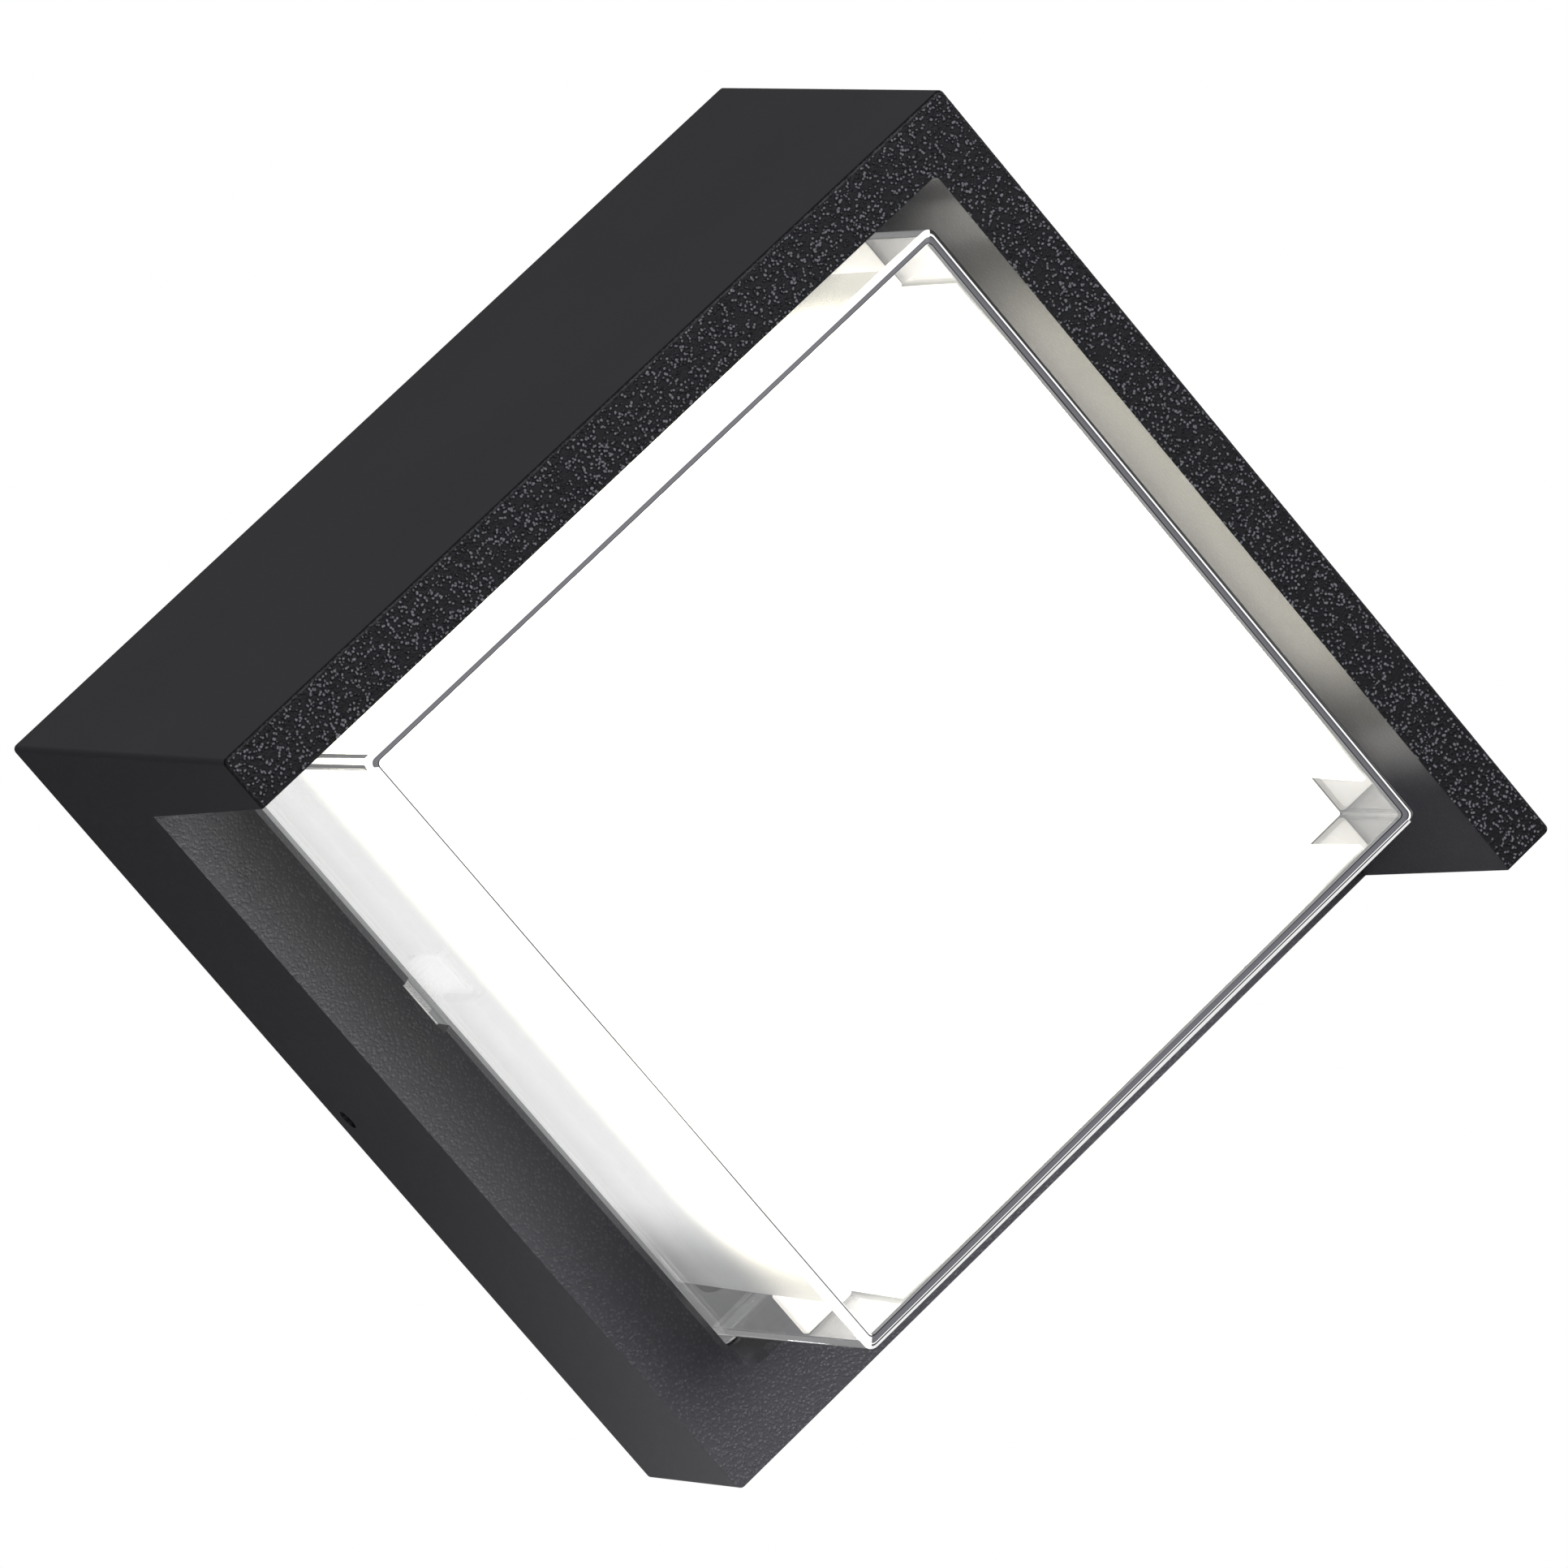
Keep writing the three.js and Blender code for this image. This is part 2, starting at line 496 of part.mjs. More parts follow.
// Leads: terminal to driver, driver through the floor to the LED board, and the earth lead.
function lead(points) {
  const places = points.map((p) => new THREE.Vector3(...p));
  const route = new THREE.CatmullRomCurve3(places, false, 'centripetal');
  const section = new THREE.Shape();
  section.absarc(0, 0, LEAD_R, 0, Math.PI * 2);
  const options = { steps: points.length * 3, curveSegments: 3, extrudePath: route };
  return new THREE.ExtrudeGeometry(section, options);
}
const leadStart = terminal.x + 6.6;
addPiece('lead_line', lead([
  [leadStart, -7, 13.5], [-17, -7, 13.5], [-10, -12, 13.2], [-6, -30, 13], [-2, -48, 13],
  [8, -61, 13], [19, -61, 13], [24, -51, 13], [24, -38, 13],
]), 'brownSleeve');
addPiece('lead_neutral', lead([
  [leadStart, 4, 13.5], [-17, 4, 13.5], [-6, -2, 13.2], [-1, -18, 13], [2, -38, 13],
  [6, -51, 13], [12, -55, 13], [16, -48, 13], [16, -38, 13],
]), 'blueSleeve');
addPiece('lead_earth', lead([
  [leadStart, 15, 13.5], [-18, 15.5, 13.5], [-11, 22, 13.8], [-11, 29, 15], [-17, 31.5, 16.5],
  [-23, 33, 17.2], [-26.4, 37.2, 17.3],
]), 'earthSleeve');
addPiece('lead_led_plus', lead([
  [16, 38, 13], [16, 46, 13], [11, 51, 13], [2, 51, 13], [-5, 46.5, 13.5], [-9.6, 41, 15.5],
  [-10.3, 38.4, 19], [-10.3, 38, 25], [-10.2, 36.6, 28.6], [-8.4, 33, 29.1],
]), 'redSleeve');
addPiece('lead_led_minus', lead([
  [24, 38, 13], [24, 50, 13], [18, 57, 13], [6, 58, 13], [-6, 55, 13], [-12.5, 48, 14],
  [-13.8, 41.5, 16], [-13.7, 38.4, 19], [-13.7, 38, 25], [-13.7, 36.6, 28.6], [-15.8, 32.8, 29.1],
]), 'blackSleeve');

// Earth screw with its ring lug on the floor of the casting.
addPiece('earth_lug', cut(
  join(
    bar(earth.x, earth.y, 18.9, 19.7, 4.2, 18),
    box(-1.6, 1.6, 2, 8.2, 18.9, 19.7).rotateZ(-2.65).translate(earth.x, earth.y, 0),
  ),
  bar(earth.x, earth.y, 18, 21, 2.3, 16),
), 'zincSteel');
addPiece('earth_screw', backScrew(earth.x, earth.y, FLOOR_BACK + 3.2, 18.6, 2.2, 2), 'brass');

// Wall bracket: a plate with a wing towards each lower side for the side screws, and a
// hooked wing towards each upper side that catches in the casting.
const wingOut = CAVITY_HALF - 0.6;
const wingIn = wingOut - PLATE_STEEL;
function wallBracket() {
  const hookHalf = WING_HALF - 1;
  const plate = squareSlab(BRACKET_HALF, 8, 0, PLATE_STEEL, 4);
  const arms = [
    box(-wingOut, wingOut, -WING_HALF, WING_HALF, 0, PLATE_STEEL),
    box(-WING_HALF, WING_HALF, -wingOut, wingOut, 0, PLATE_STEEL),
  ];
  const wings = [
    box(-wingOut, -wingIn, -WING_HALF, WING_HALF, 0, WING_HIGH),
    box(-WING_HALF, WING_HALF, -wingOut, -wingIn, 0, WING_HIGH),
    box(wingIn, wingOut, -hookHalf, hookHalf, 0, HOOK_Z[1]),
    box(-hookHalf, hookHalf, wingIn, wingOut, 0, HOOK_Z[1]),
    box(wingIn, wingOut + 2, -hookHalf, hookHalf, ...HOOK_Z),
    box(-hookHalf, hookHalf, wingIn, wingOut + 2, ...HOOK_Z),
  ];
  const tapped = [1, 2].map((side) => sideBar(side, wingIn - 1, wingOut + 1, SCREW_R + GAP));
  const slots = [-1, 1].map((end) => slab(roundedRect(9, 2.4, 2.3), -1, PLATE_STEEL + 1, 4)
    .rotateZ(-Math.PI / 4).translate(end * 34, -end * 34, 0));
  const hole = bar(entry.x, entry.y, -1, PLATE_STEEL + 1, entry.radius, 24);
  return cut(join(plate, ...arms, ...wings), ...tapped, ...slots, hole);
}
addPiece('wall_bracket', wallBracket(), 'zincSteel');

// Rubber bush in the bracket's hole, where the house cable comes in.
function entryGrommet() {
  const { x, y, radius } = entry;
  const bush = join(
    bar(x, y, 0, PLATE_STEEL + 1, radius - GAP, 24),
    bar(x, y, PLATE_STEEL + GAP, PLATE_STEEL + 2, radius + 1.8, 24),
  );
  return cut(bush, bar(x, y, -1, PLATE_STEEL + 4, 6, 24));
}
addPiece('entry_grommet', entryGrommet(), 'blackRubber');

addPiece('wall_gasket', squareRing(
  RIM_GROOVE[1] - GAP, RIM_GROOVE[0] + GAP, 3, 0, RIM_GROOVE[2] - GAP,
), 'blackRubber');

// Side screws: headless, sunk in the two lower sides, with their tips in the bracket's wings.
for (const side of [1, 2]) {
  const face = SIDE / 2 - DRAFT * SIDE_SCREW_Z - 0.9;
  const socket = sideBar(side, face - 1.6, face + 1, SCREW_R * 0.6, 6);
  addPiece(`side_screw_${side}`, cut(sideBar(side, wingIn - 0.8, face, SCREW_R), socket), 'steel');
}

export default wallFrame;
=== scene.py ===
import math

import bmesh
import bpy
from mathutils import Euler, Matrix, Vector


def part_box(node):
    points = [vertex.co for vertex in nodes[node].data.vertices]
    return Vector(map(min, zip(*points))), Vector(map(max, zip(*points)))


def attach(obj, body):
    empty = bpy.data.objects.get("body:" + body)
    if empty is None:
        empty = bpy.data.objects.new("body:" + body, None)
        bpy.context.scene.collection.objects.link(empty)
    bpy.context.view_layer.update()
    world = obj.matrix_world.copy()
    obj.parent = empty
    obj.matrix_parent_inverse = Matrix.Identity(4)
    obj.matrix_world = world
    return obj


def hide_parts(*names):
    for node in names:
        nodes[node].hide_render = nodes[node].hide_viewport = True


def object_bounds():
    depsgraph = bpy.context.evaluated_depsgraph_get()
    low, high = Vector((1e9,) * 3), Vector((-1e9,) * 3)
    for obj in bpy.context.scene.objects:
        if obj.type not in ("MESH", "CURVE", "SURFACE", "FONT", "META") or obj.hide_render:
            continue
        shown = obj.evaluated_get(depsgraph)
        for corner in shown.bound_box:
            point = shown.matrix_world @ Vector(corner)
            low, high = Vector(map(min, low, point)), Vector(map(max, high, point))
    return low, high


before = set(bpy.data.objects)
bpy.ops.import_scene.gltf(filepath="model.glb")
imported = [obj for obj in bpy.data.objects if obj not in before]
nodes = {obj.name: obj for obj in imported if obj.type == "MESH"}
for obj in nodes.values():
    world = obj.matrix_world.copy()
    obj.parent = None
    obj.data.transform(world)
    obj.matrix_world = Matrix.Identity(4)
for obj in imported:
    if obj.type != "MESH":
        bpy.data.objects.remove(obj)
cad_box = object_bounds()


# ---------------------------------------------------------------------------
# Camera: a long lens, level with the light and a little to its left, slightly
# rolled, aimed at the middle of the light's depth.
# ---------------------------------------------------------------------------
AIM = Vector((-0.0014, -0.0500, 0.0008))
CAMERA_DISTANCE = 1.4487
CAMERA_BEARING = math.radians(19.82)
CAMERA_TILT = math.radians(-0.22)
CAMERA_ROLL = math.radians(2.99)

camera_data = bpy.data.cameras.new("studio_camera")
camera_data.sensor_width = 36.0
camera_data.lens = 211.9
camera_data.clip_start = 0.05
camera = bpy.data.objects.new("studio_camera", camera_data)
bpy.context.scene.collection.objects.link(camera)
looking = Euler((math.pi / 2 + CAMERA_TILT, 0, -CAMERA_BEARING)).to_matrix()
ahead = looking @ Vector((0, 0, -1))
rolled = looking @ Matrix.Rotation(CAMERA_ROLL, 3, "Z")
camera.matrix_world = Matrix.Translation(AIM - CAMERA_DISTANCE * ahead) @ rolled.to_4x4()
bpy.context.scene.camera = camera


# ---------------------------------------------------------------------------
# Studio: a pale round floor well below the light, a dim room that is lighter
# overhead, a white backdrop, and soft lamps in front, to the sides and behind.
# ---------------------------------------------------------------------------
FLOOR_LEVEL = cad_box[0][2] - 0.090
FLOOR_RADIUS = 0.32
FLOOR_MIDDLE = -0.13
ROOM_BELOW = 0.015
ROOM_ABOVE = 0.20
BACKDROP = 1.0
BACKDROP_THROUGH_ACRYLIC = 0.12
LAMPS = (  # name, place, size, power in watts, colour
    ("lamp_front", (0.25, -2.0, 0.55), 0.6, 31.0, (0.96, 0.97, 1.0)),
    ("lamp_left", (-1.3, -1.5, 1.1), 0.8, 10.0, (0.93, 0.95, 1.0)),
    ("lamp_right", (1.6, -0.9, 0.4), 0.8, 9.0, (0.97, 0.98, 1.0)),
    ("lamp_rear", (1.2, 1.7, 0.7), 0.9, 16.0, (1.0, 1.0, 1.0)),
)


def add_lamp(name, place, size, power, colour):
    data = bpy.data.lights.new(name, "AREA")
    data.shape = "SQUARE"
    data.size = size
    data.energy = power
    data.color = colour
    lamp = bpy.data.objects.new(name, data)
    lamp.location = place
    lamp.rotation_euler = (-Vector(place)).to_track_quat("-Z", "Y").to_euler()
    bpy.context.scene.collection.objects.link(lamp)


for lamp_row in LAMPS:
    add_lamp(*lamp_row)


def add_node(tree, kind, **values):
    """A node; each value sets a property, or the input of that name."""
    node = tree.nodes.new(kind)
    for key, value in values.items():
        if hasattr(node, key):
            setattr(node, key, value)
        else:
            node.inputs[key.replace("_", " ")].default_value = value
    return node


world = bpy.data.worlds.new("white_studio")
bpy.context.scene.world = world
world.use_nodes = True
room = world.node_tree
room.nodes.clear()
ray = add_node(room, "ShaderNodeLightPath")
direction = add_node(room, "ShaderNodeTexCoord")
upward = add_node(room, "ShaderNodeSeparateXYZ")
ambient = add_node(room, "ShaderNodeMapRange", From_Min=-1.0, To_Min=ROOM_BELOW, To_Max=ROOM_ABOVE)
through = add_node(room, "ShaderNodeMix", data_type="FLOAT", B=BACKDROP_THROUGH_ACRYLIC)
direct = add_node(room, "ShaderNodeMix", data_type="FLOAT", B=BACKDROP)
backdrop = add_node(room, "ShaderNodeBackground")
backdrop.inputs["Color"].default_value = (1.0, 1.0, 1.0, 1.0)
world_out = add_node(room, "ShaderNodeOutputWorld")
room.links.new(direction.outputs["Generated"], upward.inputs[0])
room.links.new(upward.outputs["Z"], ambient.inputs["Value"])
room.links.new(ray.outputs["Is Transmission Ray"], through.inputs["Factor"])
room.links.new(ambient.outputs["Result"], through.inputs["A"])
room.links.new(ray.outputs["Is Camera Ray"], direct.inputs["Factor"])
room.links.new(through.outputs["Result"], direct.inputs["A"])
room.links.new(direct.outputs["Result"], backdrop.inputs["Strength"])
room.links.new(backdrop.outputs[0], world_out.inputs["Surface"])
bpy.context.scene.view_settings.view_transform = "Standard"


def new_material(name):
    """A material, its node tree and its Principled shader."""
    material = bpy.data.materials.new(name)
    material.use_nodes = True
    return material, material.node_tree, material.node_tree.nodes["Principled BSDF"]


def floor_material():
    material, tree, shader = new_material("pale_floor")
    where = add_node(tree, "ShaderNodeTexCoord")
    mottle = add_node(tree, "ShaderNodeTexNoise", Scale=9.0, Detail=4.0)
    tint = add_node(tree, "ShaderNodeMapRange", To_Min=0.80, To_Max=0.84)
    tree.links.new(where.outputs["Object"], mottle.inputs["Vector"])
    tree.links.new(mottle.outputs["Fac"], tint.inputs["Value"])
    tree.links.new(tint.outputs["Result"], shader.inputs["Base Color"])
    shader.inputs["Roughness"].default_value = 0.7
    return material


def round_floor():
    sides = 96
    rim = []
    for i in range(sides):
        turn = math.tau * i / sides
        across, away = FLOOR_RADIUS * math.cos(turn), FLOOR_RADIUS * math.sin(turn)
        rim.append((across, FLOOR_MIDDLE + away, FLOOR_LEVEL))
    mesh = bpy.data.meshes.new("floor")
    mesh.from_pydata(rim, [], [list(range(sides))])
    mesh.materials.append(floor_material())
    floor = bpy.data.objects.new("floor", mesh)
    bpy.context.scene.collection.objects.link(floor)


round_floor()


# ---------------------------------------------------------------------------
# Casting: the aluminium body and its hood are one die casting, sprayed with
# charcoal powder that lies pebbled on the hood's front and finer elsewhere, with
# painted shade in the pebbles' hollows and painted highlights on their tops. Its
# edges are slightly rounded and carry painted shade.
# ---------------------------------------------------------------------------
HOOD_FRONT = -cad_box[0][1]
BODY_FACE = 0.043
POCKET_HALF = 0.0645
CASTING_EDGE_ROUND = 0.00035
DIAGONAL = math.sqrt(0.5)
POWDER_FLAT = (0.030, 0.029, 0.037)
# The hollow colour is painted shade and the pebble colour is a painted highlight on the pebbled powder.
POWDER_HOLLOW_PAINTED_SHADE = (0.001, 0.001, 0.002)
POWDER_PEBBLE_PAINTED_HIGHLIGHT = (0.165, 0.165, 0.180)
PEBBLE_PITCH = 0.00066
PEBBLED_SHINE = 0.12
FINE_SHINE = 0.5
PEBBLE_RISE = 0.00030
GRIT_RISE = 0.00005
GRIT_FINER = 2.3  # the grit's pitch goes this many times into the pebbles'
FINE_SHARE = 0.6  # the fine coat's pitch as a share of the pebbled coat's
PEBBLE_SWAY = 0.0007
HOOD_EDGE_DEEP = 0.0012
LEDGE_HALF = 0.070
FACING = 0.985  # a face whose normal is at least this far forward looks straight ahead


def along_sides(point):
    """A point's place along the upper right (x) and the upper left (y) sides of the square."""
    return (point[0] + point[2]) * DIAGONAL, (point[2] - point[0]) * DIAGONAL


def at(x, y, depth):
    """The point at x and y along the sides of the square and at a depth off the wall."""
    return Vector(((x - y) * DIAGONAL, -depth, (x + y) * DIAGONAL))


def merged_copy(node_name):
    """A bmesh copy of a CAD node with its corners merged and its flat faces made whole."""
    work = bmesh.new()
    work.from_mesh(nodes[node_name].data)
    bmesh.ops.remove_doubles(work, verts=work.verts, dist=1e-6)
    bmesh.ops.dissolve_limit(work, angle_limit=math.radians(0.6), verts=work.verts, edges=work.edges)
    return work


def round_edges(work, width, segments=2, sharper_than=28.0):
    """Rounds the edges of a bmesh that are sharper than an angle in degrees."""
    least = math.radians(sharper_than)
    sharp = [e for e in work.edges if len(e.link_faces) == 2 and e.calc_face_angle(0) > least]
    bmesh.ops.bevel(
        work, geom=sharp, offset=width, offset_type="OFFSET", segments=segments, profile=0.5,
        affect="EDGES", clamp_overlap=True,
    )


def finish(work, name, materials, replaced=(), smooth=40.0):
    """Turns a bmesh into a finished piece that rides on the light's one body."""
    mesh = bpy.data.meshes.new(name)
    work.to_mesh(mesh)
    work.free()
    for material in materials if isinstance(materials, list) else [materials]:
        mesh.materials.append(material)
    mesh.shade_smooth()
    mesh.set_sharp_from_angle(angle=math.radians(smooth))
    piece = bpy.data.objects.new(name, mesh)
    bpy.context.scene.collection.objects.link(piece)
    flatten = piece.modifiers.new("flat_faces_stay_flat", "WEIGHTED_NORMAL")
    flatten.keep_sharp = True
    flatten.weight = 100
    evaluated = piece.evaluated_get(bpy.context.evaluated_depsgraph_get())
    piece.data = bpy.data.meshes.new_from_object(evaluated)
    piece.modifiers.clear()
    bpy.data.meshes.remove(mesh)
    piece.data.name = name
    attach(piece, "root")
    if replaced:
        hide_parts(*replaced)
    return piece


def node_group(name, kind, inputs, outputs):
    """A group with (name, type, value) sockets, and its input and output nodes."""
    tree = bpy.data.node_groups.new(name, kind)
    for way, sockets in (("INPUT", inputs), ("OUTPUT", outputs)):
        for label, sort, *value in sockets:
            socket = tree.interface.new_socket(name=label, in_out=way, socket_type=f"NodeSocket{sort}")
            if value:
                socket.default_value = value[0]
    return tree, tree.nodes.new("NodeGroupInput"), tree.nodes.new("NodeGroupOutput")


def worked_out(tree, operation, *values):
    """The result of a maths node; each value is a number or another node's output."""
    node = add_node(tree, "ShaderNodeMath", operation=operation)
    for socket, value in zip(node.inputs, values):
        if isinstance(value, (int, float)):
            socket.default_value = value
        else:
            tree.links.new(value, socket)
    return node.outputs[0]


def pebble_group():
    """Pebbled powder: rounded lumps of a given pitch with finer grit over them."""
    tree, inside, outside = node_group(
        "pebbled_powder", "ShaderNodeTree",
        (("Vector", "Vector"), ("Pitch", "Float", PEBBLE_PITCH), ("Grit", "Float", 0.3)),
        (("Height", "Float"),),
    )
    scale = worked_out(tree, "DIVIDE", 1.0, inside.outputs["Pitch"])
    finer = worked_out(tree, "MULTIPLY", scale, GRIT_FINER)
    sway = add_node(tree, "ShaderNodeTexNoise", Scale=700.0, Detail=2.0)
    swayed = add_node(tree, "ShaderNodeVectorMath", operation="MULTIPLY_ADD")
    swayed.inputs[1].default_value = (PEBBLE_SWAY, PEBBLE_SWAY, PEBBLE_SWAY)
    cells = add_node(tree, "ShaderNodeTexVoronoi", feature="F1")
    tops = add_node(tree, "ShaderNodeMapRange", From_Min=0.10, From_Max=0.60, To_Min=1.0, To_Max=0.0)
    tops.interpolation_type = "SMOOTHSTEP"
    grit = add_node(tree, "ShaderNodeTexNoise", Detail=3.0, Roughness=0.6)
    mixed = add_node(tree, "ShaderNodeMix", data_type="FLOAT")
    links = tree.links
    links.new(inside.outputs["Vector"], sway.inputs["Vector"])
    links.new(sway.outputs["Color"], swayed.inputs[0])
    links.new(inside.outputs["Vector"], swayed.inputs[2])
    links.new(swayed.outputs[0], cells.inputs["Vector"])
    links.new(scale, cells.inputs["Scale"])
    links.new(cells.outputs["Distance"], tops.inputs["Value"])
    links.new(inside.outputs["Vector"], grit.inputs["Vector"])
    links.new(finer, grit.inputs["Scale"])
    links.new(inside.outputs["Grit"], mixed.inputs["Factor"])
    links.new(tops.outputs["Result"], mixed.inputs["A"])
    links.new(grit.outputs["Fac"], mixed.inputs["B"])
    links.new(mixed.outputs["Result"], outside.inputs["Height"])
    return tree


PEBBLES = pebble_group()


def powder_coat(name, shine):
    """Charcoal powder coat, as coarse as the grain attribute says, with painted shade in the pebbles'
    hollows, painted highlights on their tops, and painted shade where edge is 1.
    """
    material, tree, shader = new_material(name)
    links = tree.links
    where = add_node(tree, "ShaderNodeTexCoord")
    grain = add_node(tree, "ShaderNodeAttribute", attribute_name="grain")
    edge = add_node(tree, "ShaderNodeAttribute", attribute_name="edge")
    coarse = add_node(tree, "ShaderNodeGroup", node_tree=PEBBLES)
    coarse.inputs["Grit"].default_value = 0.30
    fine = add_node(tree, "ShaderNodeGroup", node_tree=PEBBLES)
    fine.inputs["Pitch"].default_value = PEBBLE_PITCH * FINE_SHARE
    fine.inputs["Grit"].default_value = 0.5
    for powder in (coarse, fine):
        links.new(where.outputs["Object"], powder.inputs["Vector"])

    coarse_height = worked_out(tree, "MULTIPLY", coarse.outputs["Height"], grain.outputs["Fac"])
    coarse_bump = add_node(tree, "ShaderNodeBump", Strength=0.9, Distance=PEBBLE_RISE)
    links.new(coarse_height, coarse_bump.inputs["Height"])
    fine_bump = add_node(tree, "ShaderNodeBump", Strength=0.30, Distance=GRIT_RISE)
    links.new(fine.outputs["Height"], fine_bump.inputs["Height"])
    links.new(coarse_bump.outputs["Normal"], fine_bump.inputs["Normal"])
    links.new(fine_bump.outputs["Normal"], shader.inputs["Normal"])

    # Painted light on the pebbles: painted shade in their hollows and painted highlights on their tops, set
    # by the pebbles' height.
    pebble_painted_light = add_node(tree, "ShaderNodeMapRange", From_Min=0.34, From_Max=0.90)
    links.new(coarse.outputs["Height"], pebble_painted_light.inputs["Value"])
    pebbled = add_node(tree, "ShaderNodeMix", data_type="RGBA")
    pebbled.inputs["A"].default_value = (*POWDER_HOLLOW_PAINTED_SHADE, 1.0)
    pebbled.inputs["B"].default_value = (*POWDER_PEBBLE_PAINTED_HIGHLIGHT, 1.0)
    links.new(pebble_painted_light.outputs["Result"], pebbled.inputs["Factor"])
    colour = add_node(tree, "ShaderNodeMix", data_type="RGBA")
    colour.inputs["A"].default_value = (*POWDER_FLAT, 1.0)
    links.new(grain.outputs["Fac"], colour.inputs["Factor"])
    links.new(pebbled.outputs["Result"], colour.inputs["B"])

    cloud = add_node(tree, "ShaderNodeTexNoise", Scale=22.0, Detail=5.0, Roughness=0.55)
    links.new(where.outputs["Object"], cloud.inputs["Vector"])
    shade = add_node(tree, "ShaderNodeMapRange", From_Min=0.3, From_Max=0.7, To_Min=0.93, To_Max=1.07)
    links.new(cloud.outputs["Fac"], shade.inputs["Value"])
    # Painted shade: faces marked as edges are darkened to 35 per cent of their colour.
    painted_edge_shade = add_node(tree, "ShaderNodeMapRange", To_Min=1.0, To_Max=0.35)
    links.new(edge.outputs["Fac"], painted_edge_shade.inputs["Value"])
    both = worked_out(tree, "MULTIPLY", shade.outputs["Result"], painted_edge_shade.outputs["Result"])
    shaded = add_node(tree, "ShaderNodeVectorMath", operation="SCALE")
    links.new(colour.outputs["Result"], shaded.inputs[0])
    links.new(both, shaded.inputs["Scale"])
    links.new(shaded.outputs[0], shader.inputs["Base Color"])

    gloss = add_node(tree, "ShaderNodeMapRange", From_Min=0.25, From_Max=0.75, To_Min=0.36, To_Max=0.44)
    links.new(cloud.outputs["Fac"], gloss.inputs["Value"])
    links.new(gloss.outputs["Result"], shader.inputs["Roughness"])
    shader.inputs["Specular IOR Level"].default_value = shine
    return material


def lay_powder(work):
    """Marks each face of the casting with the grain of its powder and whether it is an edge, which takes
    painted shade.
    """
    grain = work.faces.layers.float.new("grain")
    edge = work.faces.layers.float.new("edge")
    for face in work.faces:
        middle = face.calc_center_median()
        depth = -middle[1]
        forward = -face.normal[1]
        x, y = along_sides(middle)
        outside_pocket = max(abs(x), abs(y)) > POCKET_HALF + 0.002
        if depth > HOOD_FRONT - HOOD_EDGE_DEEP:
            face[grain] = 1.0 if forward > FACING else 0.3
            face[edge] = 0.0 if forward > FACING else 1.0
            face.material_index = 1
        elif forward > FACING and depth > BODY_FACE - 0.0015:
            face[grain] = 0.12
        elif max(abs(x), abs(y)) < LEDGE_HALF:
            face[grain] = 0.10
        else:
            face[grain] = 0.02
        # Sloped faces outside the pocket are marked as edges, for painted shade.
        if outside_pocket and 0.1 < forward < FACING and depth > 0.001:
            face[edge] = 1.0


casting = merged_copy("housing")
round_edges(casting, CASTING_EDGE_ROUND)
lay_powder(casting)
finish(
    casting, "casting",
    [powder_coat("charcoal_powder_fine", FINE_SHINE), powder_coat("charcoal_powder_pebbled", PEBBLED_SHINE)],
    ["housing"],
)


# ---------------------------------------------------------------------------
# Clear cover: an injection-moulded acrylic box, drafted, open at the back, with
# a flange all round that the clips press on its gasket. Its walls carry a faint
# painted glow for the lamp's light led in them, and its front edge carries painted
# grey and white lines of light and shade round the window, other lines on each side.
# ---------------------------------------------------------------------------
COVER_FRONT = 0.0985
COVER_BASE = 0.0275
COVER_HALF = 0.0623
COVER_DRAFT = 0.0327
COVER_DRAFT_UPPER = 0.0116
COVER_WALL = 0.0018
COVER_PANE = 0.0020
COVER_CORNER = 0.0015
COVER_FRONT_ROUND = 0.0004
FLANGE_HALF = 0.0640
FLANGE_CORNER = 0.0035
FLANGE_THICK = 0.0022
WALL_PAINTED_GLOW = 0.055


def ring_points(low, high, radius, depth, steps=6):
    """Points round a square from -low to high with rounded corners, at one depth."""
    points = []
    for corner, (sx, sy) in enumerate(((1, 1), (-1, 1), (-1, -1), (1, -1))):
        cx = high - radius if sx > 0 else radius - low
        cy = high - radius if sy > 0 else radius - low
        for step in range(steps + 1):
            angle = (corner + step / steps) * math.pi / 2
            points.append(at(cx + radius * math.cos(angle), cy + radius * math.sin(angle), depth))
    return points


def skin(loops, ring=False):
    """A closed bmesh through loops of points; its ends are capped, or joined to make a ring."""
    work = bmesh.new()
    rows = [[work.verts.new(p) for p in loop] for loop in loops]
    pairs = list(zip(rows, rows[1:]))
    if ring:
        pairs.append((rows[-1], rows[0]))
    else:
        work.faces.new(rows[0][::-1])
        work.faces.new(rows[-1])
    for near, far in pairs:
        for i in range(len(near)):
            j = (i + 1) % len(near)
            work.faces.new((near[i], near[j], far[j], far[i]))
    bmesh.ops.recalc_face_normals(work, faces=work.faces)
    return work


def cover_sides(depth, inset=0.0):
    """How far the cover's lower and upper walls stand from the middle at a depth."""
    height = depth - COVER_BASE
    return COVER_HALF - COVER_DRAFT * height - inset, COVER_HALF - COVER_DRAFT_UPPER * height - inset


def turned_edge(low, high, corner, depth, radius, steps=4):
    """Rings that turn a wall over into a front face at a depth, round a rounded edge."""
    rings = []
    for step in range(steps + 1):
        angle = step / steps * math.pi / 2
        back = radius * (1 - math.cos(angle))
        fall = radius * (1 - math.sin(angle))
        rings.append((low - back, high - back, max(corner - back, 0.0002), depth - fall))
    return rings


